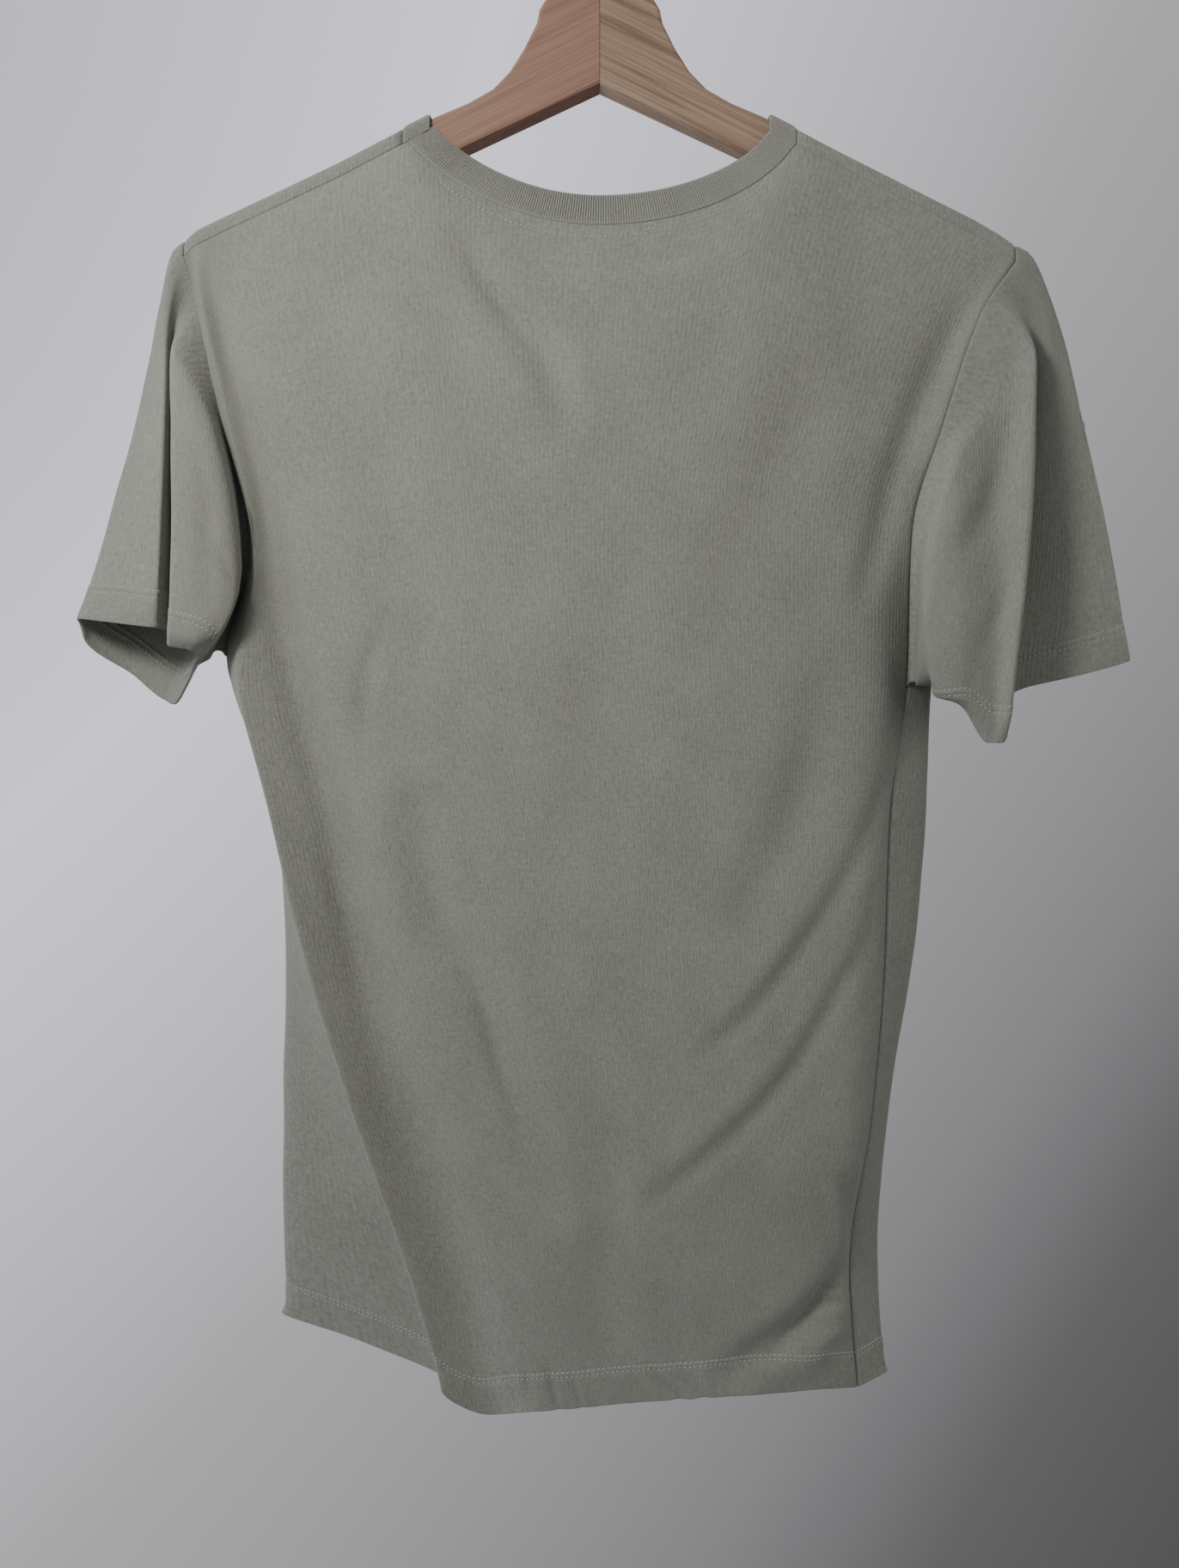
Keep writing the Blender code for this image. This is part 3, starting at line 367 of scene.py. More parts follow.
def smooth(stops, values, at):
    """Curve through values at rising stops, with no overshoot, read at the given places."""
    stops = np.asarray(stops, float)
    values = np.asarray(values, float)
    at = np.asarray(at, float)
    step = np.diff(stops).reshape((-1,) + (1,) * (values.ndim - 1))
    slope = np.diff(values, axis=0) / step
    same_way = slope[:-1] * slope[1:] > 0
    weight_a = 2 * step[1:] + step[:-1]
    weight_b = step[1:] + 2 * step[:-1]
    safe_a = np.where(same_way, slope[:-1], 1.0)
    safe_b = np.where(same_way, slope[1:], 1.0)
    inner = np.where(same_way, (weight_a + weight_b) / (weight_a / safe_a + weight_b / safe_b), 0.0)
    tangent = np.concatenate((slope[:1], inner, slope[-1:]))
    cell = np.clip(np.searchsorted(stops, at, side="right") - 1, 0, len(stops) - 2)
    width = stops[cell + 1] - stops[cell]
    t = ((at - stops[cell]) / width).reshape((-1,) + (1,) * (values.ndim - 1))
    width = width.reshape(t.shape)
    return ((2 * t ** 3 - 3 * t ** 2 + 1) * values[cell]
            + (t ** 3 - 2 * t ** 2 + t) * width * tangent[cell]
            + (3 * t ** 2 - 2 * t ** 3) * values[cell + 1]
            + (t ** 3 - t ** 2) * width * tangent[cell + 1])


def spread(places):
    """Carry places from the hanger's plane, as the eye sees them, to their own depth."""
    places = np.asarray(places, float)
    scale = (EYE_DISTANCE + places[..., 2] - FACE_DEPTH) / EYE_DISTANCE
    across = EYE[0] + (places[..., 0] - EYE[0]) * scale
    height = EYE[1] + (places[..., 1] - EYE[1]) * scale
    return np.stack((across, places[..., 2], height), axis=-1)


def as_seen(places):
    """The opposite of spread: true places carried to where the eye sees them."""
    scale = (EYE_DISTANCE + places[..., 1] - FACE_DEPTH) / EYE_DISTANCE
    across = EYE[0] + (places[..., 0] - EYE[0]) / scale
    height = EYE[1] + (places[..., 2] - EYE[1]) / scale
    return np.stack((across, height, places[..., 1]), axis=-1)


def shoulder(across):
    """Height of the shoulder line, on the outside of the cloth."""
    full = np.interp(across, SHOULDER_FULL_AT, SHOULDER_FULL)
    return SHOULDER_TOP - SHOULDER_SLOPE * (np.abs(across) - NECK_POINT) + full


def back_top(across):
    """Height of the back's upper edge: shoulder seams on both sides of the neck seam."""
    inside = np.clip(1 - (across / NECK_HALF) ** 2, 0, 1)
    neck = SHOULDER_TOP - BACK_NECK_DROP * inside ** np.where(across < 0, 0.8, 0.62)
    return np.minimum(shoulder(across) - SEAM_BELOW_TOP, neck)


def front_top(across):
    """Height of the front's edge before it bends over the hanger, and of its neck seam."""
    inside = np.clip(1 - (across / NECK_POINT) ** 2, 0, 1)
    neck = shoulder(NECK_POINT) - FRONT_BELOW_TOP - FRONT_NECK_DROP * inside ** 0.6
    return np.minimum(shoulder(across) - FRONT_BELOW_TOP, neck)


def panel(lines, steps, wide, top_across, top_height, top_depth, crown, neck_points):
    """Grid of places for a body panel, from hem to top edge, and its columns at the neck.

    Its wide middle lies between the line whose number is wide and the next one.
    """
    table = np.array(list(lines.values()), float)
    top_across = np.array(top_across, float)
    top = np.stack((top_across, np.full(len(top_across), top_depth), top_height(top_across)), -1)
    table = np.concatenate((table, as_seen(top)[:, None, :]), axis=1)
    places = [0.0]
    for line, count in enumerate(steps):
        places += [line + (step + 1) / count for step in range(count)]
    places = np.array(places)
    fraction = np.clip(places - wide, 0, 1)
    ends = top_across[wide], top_across[wide + 1]
    outside = np.abs(places - wide - 0.5) > 0.5
    # The column nearest to each end of the neck is moved exactly there.
    columns = []
    for point in neck_points:
        wanted = (point - ends[0]) / (ends[1] - ends[0])
        nearest = np.argmin(np.where(outside, np.inf, np.abs(fraction - wanted)))
        columns.append(int(nearest))
        places[nearest] += wanted - fraction[nearest]
        fraction[nearest] = wanted
    grid = smooth(np.arange(len(table)), table, places)
    middle = (places > wide) & (places < wide + 1)
    part = fraction[middle]
    # The middle arches out to its crown at each level, and its upper levels follow the top edge.
    arch = np.sin(np.pi * part) ** 0.7
    for level, lift in enumerate(LEVEL_LIFT):
        chord = np.outer(1 - part, table[wide, level]) + np.outer(part, table[wide + 1, level])
        top_chord = ends[0] + (ends[1] - ends[0]) * part
        level_top = top_height(np.array(ends))
        chord[:, 1] += lift * (top_height(top_chord) - level_top[0] * (1 - part) - level_top[1] * part)
        chord[:, 2] += (crown[level] - chord[:, 2]) * arch
        grid[middle, level] = chord
    levels = np.concatenate((np.linspace(0, ARMPIT_LEVEL, LOWER_STEPS + 1),
                             np.linspace(ARMPIT_LEVEL, TOP_LEVEL, UPPER_STEPS + 1)[1:]))
    return smooth(np.arange(TOP_LEVEL + 1), np.swapaxes(grid, 0, 1), levels), columns


def unit(vectors):
    """Vectors of length one."""
    return vectors / np.maximum(np.linalg.norm(vectors, axis=-1, keepdims=True), 1e-9)


def closed(points, axis=0):
    """Points with the first ones of an axis once more at its end."""
    return np.concatenate((points, points.take([0], axis=axis)), axis=axis)


def travel(points, axis=0):
    """Distances along a line of points, or along a grid's lines on one of its axes."""
    step = np.linalg.norm(np.diff(points, axis=axis), axis=-1)
    start = np.zeros_like(step.take([0], axis=axis))
    return np.concatenate((start, np.cumsum(step, axis=axis)), axis=axis)


def read_along(points, run, want):
    """Points or normals read at some distances along their line."""
    return np.stack([np.interp(want, run, points[:, axis]) for axis in range(3)], -1)


def outward(points, around=False):
    """Normals of a grid whose columns run round the piece and rows run upwards."""
    ring = closed(points, 1) if around else points
    cells = unit(np.cross(ring[1:, 1:] - ring[:-1, :-1], ring[1:, :-1] - ring[:-1, 1:]))
    total = np.zeros(ring.shape)
    for row in (0, 1):
        for column in (0, 1):
            total[row:row + cells.shape[0], column:column + cells.shape[1]] += cells
    if around:
        total[:, 0] += total[:, -1]
        total = total[:, :-1]
    return unit(total)


def ease(grid, passes, around=False):
    """Soften the kinks between the tables' lines; the edges stay."""
    for _ in range(passes):
        if around:
            inner = grid[1:-1]
            beside_it = np.roll(inner, 1, axis=1) + np.roll(inner, -1, axis=1)
            grid[1:-1] = inner + 0.25 * (beside_it - 2 * inner) + 0.2 * (grid[2:] + grid[:-2] - 2 * inner)
        else:
            inner = grid[1:-1, 1:-1]
            grid[1:-1, 1:-1] = (inner + 0.22 * (grid[1:-1, 2:] + grid[1:-1, :-2] - 2 * inner)
                                + 0.22 * (grid[2:, 1:-1] + grid[:-2, 1:-1] - 2 * inner))
    return grid


def beside(spot, line):
    """How far along a line each spot lies, from 0 to 1, and how far off it, minus on its right."""
    at = np.linspace(0, len(line) - 1, 33)
    path = smooth(np.arange(len(line)), line, at)
    step = np.diff(path, axis=0)
    away = spot[:, None] - path[None, :-1]
    share = np.clip(np.sum(away * step, axis=2) / np.sum(step ** 2, axis=1), 0, 1)
    away = away - share[..., None] * step
    off = np.linalg.norm(away, axis=2)
    nearest = off.argmin(axis=1)
    every = np.arange(len(spot))
    turn = step[nearest, 0] * away[every, nearest, 1] - step[nearest, 1] * away[every, nearest, 0]
    return (nearest + share[every, nearest]) / len(step), np.copysign(off[every, nearest], turn)


def line_depth(places, lines, profile, widest):
    """How far the lines of a table push each place into the cloth, by their own profile."""
    total = np.zeros(places.shape[:2])
    for *sizes, line in lines.values():
        corner = np.array(line)
        reach = widest * max(sizes[1:])
        near = np.all((places[..., :2] > corner.min(axis=0) - reach)
                      & (places[..., :2] < corner.max(axis=0) + reach), axis=-1)
        total[near] += profile(*beside(places[near][:, :2], line), *sizes)
    return total


def trough(along, off, depth, half):
    """A fold's hollow with soft banks, which fades out at both ends."""
    reach = off / half
    ends = np.sin(np.pi * (0.08 + 0.84 * along)) ** 0.8
    return depth * ends * (1 - 0.9 * reach ** 2) * np.exp(-reach ** 2 / 1.4)


def drop(along, off, depth, width, reach):
    """The end of a layer of folds: the cloth drops on the line's left and slowly comes up again."""
    fall = 0.5 * (1 + np.tanh(off / width)) * np.exp(-(np.maximum(off, 0) / reach) ** 2)
    return depth * np.sin(np.pi * along) ** 0.8 * fall


def slack(points, size, seed):
    """Soft uneven swelling of limp cloth, about as high as size, in millimetres."""
    out = [noise.noise(Vector((x / 62 + seed, y / 62, z / 105)))
           + 0.45 * noise.noise(Vector((x / 23 + seed, y / 23, z / 38)))
           for x, y, z in points.reshape(-1, 3)]
    return (size * np.array(out)).reshape(points.shape[:2])


def respace(grid, low, high, count):
    """Rows set anew up every column: at given distances from both ends and even between."""
    run = travel(grid)
    out = np.empty((len(low) + count + len(high), *grid.shape[1:]))
    distance = np.empty(out.shape[:2])
    for column, length in enumerate(run[-1]):
        middle = np.linspace(low[-1], length - high[-1], count + 2)[1:-1]
        distance[:, column] = np.concatenate((low, middle, length - np.array(high[::-1])))
        out[:, column] = read_along(grid[:, column], run[:, column], distance[:, column])
    return out, distance


def finer_edges(grid):
    """A few more columns beside the two side edges, for their seams."""
    first = [grid[:, 0] + share * (grid[:, 1] - grid[:, 0]) for share in EDGE_SHARES]
    last = [grid[:, -1] + share * (grid[:, -2] - grid[:, -1]) for share in reversed(EDGE_SHARES)]
    return np.concatenate((grid[:, :1], np.stack(first, 1), grid[:, 1:-1], np.stack(last, 1),
                           grid[:, -1:]), axis=1)


HEM_STOPS = (0, 0.5, 1.2, 2.5, 4.5, 7, 9.5, 12, 14.5, 16.4, 17.2, 17.9, 18.5, 19.2, 19.7, 20.2, 20.8,
             21.6, 22.8, 24.5, 27)
TOP_STOPS = (0, 0.6, 1.3, 2.2, 3.4, 5.2, 7.0, 7.9, 8.5, 9.1, 10)


def lay_out_panel(lines, steps, top_across, top_height, crown, neck_points, sag, creases, drops,
                  wide, side, seed):
    """One body panel: its rows, their distances from hem and top, its neck columns, its armpit row."""
    rows, neck = panel(lines, steps, wide, top_across, top_height, side * EDGE_DEPTH, crown, neck_points)
    grid = spread(rows)
    grid[-1, neck, 0] = neck_points
    grid[-1, :, 1] = side * (EDGE_DEPTH + sag * np.clip(1 - (grid[-1, :, 0] / NECK_POINT) ** 2, 0, 1))
    grid[-1, :, 2] = top_height(grid[-1, :, 0])
    armpit = grid[LOWER_STEPS].copy()
    grid = ease(grid, PANEL_PASSES)
    grid[LOWER_STEPS, [0, -1]] = armpit[[0, -1]]
    # The creases fade out towards the side edges and the top, where the seams are.
    edge = np.clip(np.arange(grid.shape[1]) / 6, 0, 1)
    edge = np.minimum(edge, edge[::-1])
    top = np.clip((grid.shape[0] - 1 - np.arange(grid.shape[0])) / 4, 0, 1)
    seen = as_seen(grid)
    depth = (line_depth(seen, creases, trough, TROUGH_REACH) + line_depth(seen, drops, drop, DROP_REACH)
             + slack(grid, PANEL_SLACK, seed))
    grid = grid - outward(grid) * (depth * edge[None] * top[:, None])[..., None]
    lower, hem = respace(grid[:LOWER_STEPS + 1], HEM_STOPS, (0,), LOWER_ROWS)
    upper, rise = respace(grid[LOWER_STEPS:], (0,), TOP_STOPS, UPPER_ROWS)
    grid = np.concatenate((lower, upper[1:]))
    return grid, hem, rise[-1][None] - rise[1:], neck, lower.shape[0] - 1


back, back_hem, back_drop, back_neck, ARMPIT_ROW = lay_out_panel(
    BACK_LINES, BACK_STEPS, BACK_TOP_ACROSS, back_top, BACK_CROWN, (-NECK_POINT, NECK_POINT),
    BACK_NECK_SAG, BACK_CREASES, BACK_DROPS, wide=6, side=-1, seed=3.0)
front, front_hem, _, front_neck, _ = lay_out_panel(
    FRONT_LINES, FRONT_STEPS, FRONT_TOP_ACROSS, front_top, FRONT_CROWN, (NECK_POINT, -NECK_POINT),
    FRONT_NECK_SAG, FRONT_CREASES, FRONT_DROPS, wide=2, side=1, seed=9.0)
back, back_hem, back_drop = finer_edges(back), finer_edges(back_hem), finer_edges(back_drop)
front, front_hem = finer_edges(front), finer_edges(front_hem)
back_neck = [column + len(EDGE_SHARES) for column in back_neck]
front_neck = [column + len(EDGE_SHARES) for column in front_neck]
front[:ARMPIT_ROW + 1, 0] = back[:ARMPIT_ROW + 1, -1]
front[:ARMPIT_ROW + 1, -1] = back[:ARMPIT_ROW + 1, 0]
TOP_ROW = back.shape[0] - 1
over = front[-1, :, 0]
over_rows = [np.stack((over, np.full(len(over), depth), shoulder(over) + height), axis=-1)
             for depth, height in OVER_THE_ARM]
front = np.concatenate((front, np.array(over_rows)))
# Below the armpits, the two panels share the points and the normals of their side seams.
back_normal, front_normal = outward(back), outward(front)
for back_edge, front_edge in ((-1, 0), (0, -1)):
    shared = unit(back_normal[:ARMPIT_ROW + 1, back_edge] + front_normal[:ARMPIT_ROW + 1, front_edge])
    back_normal[:ARMPIT_ROW + 1, back_edge] = shared
    front_normal[:ARMPIT_ROW + 1, front_edge] = shared


def seam_valley(distance, depth=1.1, half=1.0):
    """The shallow valley that a seam pulls into the cloth."""
    return -depth * np.exp(-(distance / half) ** 2)


def doubled(distance, width):
    """One where a hem's turned-up layer lies under the cloth, and nothing beyond its raw edge."""
    return 1 / (1 + np.exp((distance - width) / RAW_EDGE))


def hem_relief(distance, needles, width):
    """A turned-up hem: thicker up to its raw edge, with a groove under each needle's row."""
    step = 0.4 * doubled(distance, width)
    for needle in needles:
        step = step - 0.32 * np.exp(-((distance - needle) / 0.6) ** 2)
    return step


def hem_thick(shape, distance, width, layer):
    """Cloth thickness: more by a layer in the hem, rounded off at its folded edge."""
    thick = np.full(shape, JERSEY_THICK)
    part = JERSEY_THICK + layer * doubled(distance, width)
    thick[:distance.shape[0]] = part * np.clip(0.45 + distance / 2.0, 0, 1)
    return thick


def hem_pucker(run, distance, size, seed):
    """Uneven slanting ripples between the hem's edge and its stitching."""
    wave = np.sin((run + 0.5 * distance) / 1.9 + 2.2 * np.sin(run / 17.0 + seed) + seed)
    wave = wave * (0.6 + 0.4 * np.sin(run / 41.0 + 2 * seed))
    return size * wave * np.exp(-((distance - 12) / 9.0) ** 2)


def panel_lift(grid, hem, pull, seed):
    """How far a panel's hem stands out of its cloth, and its side seams lie in it."""
    run = travel(grid, 1)
    lift = seam_valley(np.minimum(run, run[:, -1:] - run)) * pull
    low = hem.shape[0]
    lift[:low] += hem_relief(hem, HEM_NEEDLES, HEM_WIDTH) + hem_pucker(run[:low], hem, HEM_PUCKER, seed)
    return lift


side_pull = np.ones(back.shape[:2])
side_pull[ARMPIT_ROW + 22:, :back.shape[1] // 2] = 0.15    # the left armhole's seam lies nearly flat
back_lift = panel_lift(back, back_hem, side_pull, 1.0)
back_lift[ARMPIT_ROW + 1:] += seam_valley(back_drop, SHOULDER_VALLEY)
front_lift = panel_lift(front, front_hem, 1.0, 4.0)
front_lift[-len(FRONT_END):] += seam_valley(np.array(FRONT_END), SHOULDER_VALLEY)[:, None]
for back_edge, front_edge in ((-1, 0), (0, -1)):
    front_lift[:ARMPIT_ROW + 1, front_edge] = back_lift[:ARMPIT_ROW + 1, back_edge]
back_flat, front_flat = back.copy(), front.copy()
back = back + back_normal * back_lift[..., None]
front = front + front_normal * front_lift[..., None]


def shell(name, outer, normal, thick, around=False, hidden=None):
    """Closed cloth wall on a grid, with a map of the cloth's own lengths for its knit."""
    rows, columns = outer.shape[:2]
    inner = outer - normal * thick[..., None]
    points = np.concatenate((outer.reshape(-1, 3), inner.reshape(-1, 3))) / 1000
    count = rows * columns
    run = travel(closed(outer, 1) if around else outer, 1).mean(axis=0)
    rise = travel(outer).mean(axis=1)
    faces, spots, edges = [], [], {}
    for row in range(rows - 1):
        for column in range(len(run) - 1):
            if hidden is not None and hidden[row, column]:
                continue
            after = (column + 1) % columns
            ring = (row * columns + column, row * columns + after,
                    (row + 1) * columns + after, (row + 1) * columns + column)
            spot = ((row, column), (row, column + 1), (row + 1, column + 1), (row + 1, column))
            faces.append(ring)
            spots.append(spot)
            faces.append(tuple(count + corner for corner in reversed(ring)))
            spots.append(spot[::-1])
            for side in range(4):
                pair = (ring[side], ring[(side + 1) % 4])
                if pair[::-1] in edges:
                    del edges[pair[::-1]]
                else:
                    edges[pair] = (spot[side], spot[(side + 1) % 4])
    # An edge that only one cell has gets a face across the cloth's thickness.
    for (a, b), (spot_a, spot_b) in edges.items():
        faces.append((b, a, count + a, count + b))
        spots.append((spot_b, spot_a, spot_a, spot_b))
    used = np.unique(np.array([corner for face in faces for corner in face]))
    place = np.zeros(2 * count, int)
    place[used] = np.arange(len(used))
    mesh = bpy.data.meshes.new(name)
    mesh.from_pydata(points[used].tolist(), [], [[int(place[c]) for c in face] for face in faces])
    cloth_map = mesh.uv_layers.new(name="cloth")
    flat = np.array([(run[column], rise[row]) for spot in spots for row, column in spot]) / 1000
    cloth_map.data.foreach_set("uv", flat.astype(np.float32).ravel())
    mesh.shade_smooth()
    mesh.update()
    return add_object(name, mesh)


def jersey_finish(name, pale, dark, slub=1.0):
    """Fine single jersey: upright rows of loops, thick and thin yarn, and a soft bloom."""
    material, tree, shader = new_material(name)
    lengths = add_node(tree, "UVMap", {}, uv_map="cloth").outputs["UV"]
    mixed = 0.5
    for size, detail, share in (((820, 150, 1), 3.0, 0.34 * slub), ((170, 700, 1), 3.0, 0.16 * slub),
                                ((30, 22, 1), 3.0, 0.2), ((640, 520, 1), 2.0, 0.42)):
        weighed = add_node(tree, "Math", {0: cloudy(tree, lengths, size, detail), 1: share,
                                          2: -share / 2}, operation="MULTIPLY_ADD").outputs[0]
        mixed = add_node(tree, "Math", {0: mixed, 1: weighed}).outputs[0]
    wales = add_node(tree, "TexWave", {"Vector": lengths, "Scale": 165.0,
                                       "Distortion": 0.6}).outputs["Fac"]
    height = add_node(tree, "Math", {0: wales, 1: 0.12, 2: mixed}, operation="MULTIPLY_ADD").outputs[0]
    fill(tree, shader, {"Roughness": 0.92, "Specular IOR Level": 0.25, "Sheen Weight": 0.18,
                        "Sheen Roughness": 0.5, "Base Color": ramp(tree, mixed, (0.3, dark), (0.7, pale)),
                        "Normal": bumped(tree, height, 0.6, 0.0011)})
    return material


sage_jersey = jersey_finish("sage_jersey", (0.35, 0.36, 0.312), (0.202, 0.209, 0.177))
open_neck = np.zeros((front.shape[0] - 1, front.shape[1] - 1), bool)
open_neck[TOP_ROW:, front_neck[0]:front_neck[1]] = True
back_thick = hem_thick(back.shape[:2], back_hem, HEM_WIDTH, HEM_LAYER)
front_thick = hem_thick(front.shape[:2], front_hem, HEM_WIDTH, HEM_LAYER)
back_piece = shell("back", back, back_normal, back_thick)
front_piece = shell("front", front, front_normal, front_thick, hidden=open_neck)
for piece, node, width, length, area in ((back_piece, "back_panel", 0.47, 0.70, 0.29),
                                         (front_piece, "front_panel", 0.47, 0.71, 0.28)):
    piece.data.materials.append(sage_jersey)
    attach(piece, "root")
    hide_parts(node)

# Sleeves: short set-in sleeves of the same jersey, each sewn round its armhole, with a
# coverstitched cuff. The left one hangs open with its far half lower, and the right one's near
# half folds back on itself.
SLEEVE_LEFT_LINES = {
    "underarm": (0.00, (-213, -433, 4), (-219, -436, 7), (-224, -440, 12), (-228, -447, 18),
        (-232, -457, 24)),
    "near_inner": (0.10, (-196, -388, -20), (-200, -402, -27), (-206, -415, -28), (-213, -424, -23),
        (-219, -431, -14)),
    "near_middle": (0.25, (-210, -307, -18), (-213, -345, -28), (-217, -390, -32), (-222, -422, -29),
        (-225, -427, -23)),
    "near_edge": (0.38, (-234, -262, -14), (-234, -320, -24), (-235, -375, -30), (-237, -417, -28),
        (-237, -425, -22)),
    "crevice": (0.42, (-233, -262, -2), (-232, -320, 2), (-232, -375, 4), (-233, -408, 4),
        (-233, -417, 8)),
    "outer": (0.45, (-237, -262, -9), (-239, -325, -15), (-241, -380, -16), (-243, -405, -14),
        (-243, -415, -11)),
    "crown": (0.50, (-243, -259, 0), (-264, -335, 4), (-276, -380, 8), (-281, -396, 10),
        (-286, -410, 12)),
    "far_outer": (0.56, (-238, -262, 9), (-255, -325, 17), (-268, -380, 20), (-277, -406, 21),
        (-282, -421, 22)),
    "far_middle": (0.72, (-215, -300, 16), (-232, -345, 26), (-243, -390, 32), (-250, -420, 34),
        (-255, -441, 34)),
    "far_inner": (0.88, (-205, -380, 18), (-210, -395, 26), (-220, -415, 32), (-230, -435, 34),
        (-239, -454, 33)),
}
SLEEVE_RIGHT_LINES = {
    "underarm": (0.00, (173, -447, 0), (179, -447, 0), (185, -447, 3), (191, -447, 7), (197, -447, 12)),
    "near_inner": (0.10, (175, -395, -18), (177, -415, -23), (180, -435, -22), (183, -453, -12),
        (189, -451, 0)),
    "near_middle": (0.23, (192, -330, -25), (196, -372, -28), (197, -415, -28), (199, -456, -23),
        (200, -460, -11)),
    "cuff": (0.31, (215, -290, -15), (217, -350, -20), (217, -405, -23), (215, -462, -22),
        (212, -478, -16)),
    "near_edge": (0.39, (239, -262, -18), (238, -329, -26), (234, -394, -29), (226, -462, -27),
        (222, -478, -20)),
    "crevice": (0.43, (236, -262, 0), (234, -329, 6), (230, -394, 10), (225, -438, 12),
        (224, -451, 14)),
    "outer": (0.465, (246, -262, -3), (254, -329, 4), (259, -390, 8), (259, -425, 10), (259, -442, 12)),
    "crown": (0.50, (253, -262, 0), (271, -329, 4), (283, -390, 6), (287, -418, 8), (290, -433, 10)),
    "far_outer": (0.56, (246, -265, 10), (262, -329, 16), (272, -388, 22), (277, -415, 24),
        (280, -432, 26)),
    "far_middle": (0.72, (222, -310, 18), (235, -355, 28), (240, -400, 34), (242, -425, 36),
        (243, -438, 36)),
    "far_inner": (0.88, (195, -390, 20), (200, -405, 28), (206, -425, 32), (210, -438, 34),
        (213, -446, 34)),
}
SLEEVE_LEFT_CREASES = {
    "cuff_ripple_a": (0.8, 3.0, ((-262, -370), (-252, -379), (-240, -386))),
    "cuff_ripple_b": (0.6, 2.6, ((-266, -380), (-257, -386), (-248, -391))),
    "by_the_body": (1.2, 4.0, ((-209, -372), (-204, -381), (-199, -390))),
    "outer_soft": (1.2, 9.0, ((-246, -262), (-256, -320), (-266, -372))),
    "near_soft": (1.4, 8.0, ((-226, -300), (-214, -350), (-214, -400))),
}
SLEEVE_RIGHT_CREASES = {
    "near_valley": (1.3, 9.0, ((230, -258), (226, -294), (221, -328), (209, -359), (196, -375))),
    "near_crest": (-0.5, 8.0, ((214, -300), (206, -336), (194, -362))),
    "elbow": (0.7, 6.0, ((228, -380), (218, -410), (206, -432))),
    "outer_soft": (1.2, 8.0, ((256, -300), (266, -350), (274, -400))),
}
SLEEVE_STOPS = (0.0, 0.07, 0.25, 0.5, 0.72, 0.87, 1.0)
SLEEVE_EVENNESS = (0.15, 0.35, 0.5, 0.6, 0.6)
CUFF_WIDTH = 20.8
CUFF_NEEDLES = (17.0, 20.6)
CUFF_STOPS = (0, 0.5, 1.2, 2.5, 4.5, 7, 9.5, 12, 14.5, 16, 16.5, 17, 17.5, 18.2, 19, 19.8, 20.2, 20.6,
              21.0, 21.6, 22.6, 24)
SLEEVE_ROOT = 4.5            # how far a sleeve runs straight on from its armhole
SLEEVE_ROWS = 71
SLEEVE_MIDDLE_ROWS = 44
SLEEVE_PASSES = 12
CUFF_PASSES = 16
SLEEVE_SLACK = 0.8
HEAD_REACH = 0.4             # how far down a sleeve its round head goes, and its width round it
HEAD_WIDTH = 0.11
CUFF_LAYER = 0.6
CUFF_PUCKER = 0.15
ARMHOLE_STOPS = (0, 0.7, 1.5, 2.6)


def armhole(back_array, front_array, side):
    """Points or normals round an armhole, up the back's edge and down the front's, and halfway."""
    back_edge, front_edge = (-1, 0) if side > 0 else (0, -1)
    last = front_array.shape[0] - 1
    ring = np.concatenate((back_array[ARMPIT_ROW:TOP_ROW + 1, back_edge],
                           front_array[last - 1:ARMPIT_ROW:-1, front_edge]))
    halfway = (ring + np.roll(ring, -1, axis=0)) / 2
    return np.stack((ring, halfway), axis=1).reshape(-1, 3)


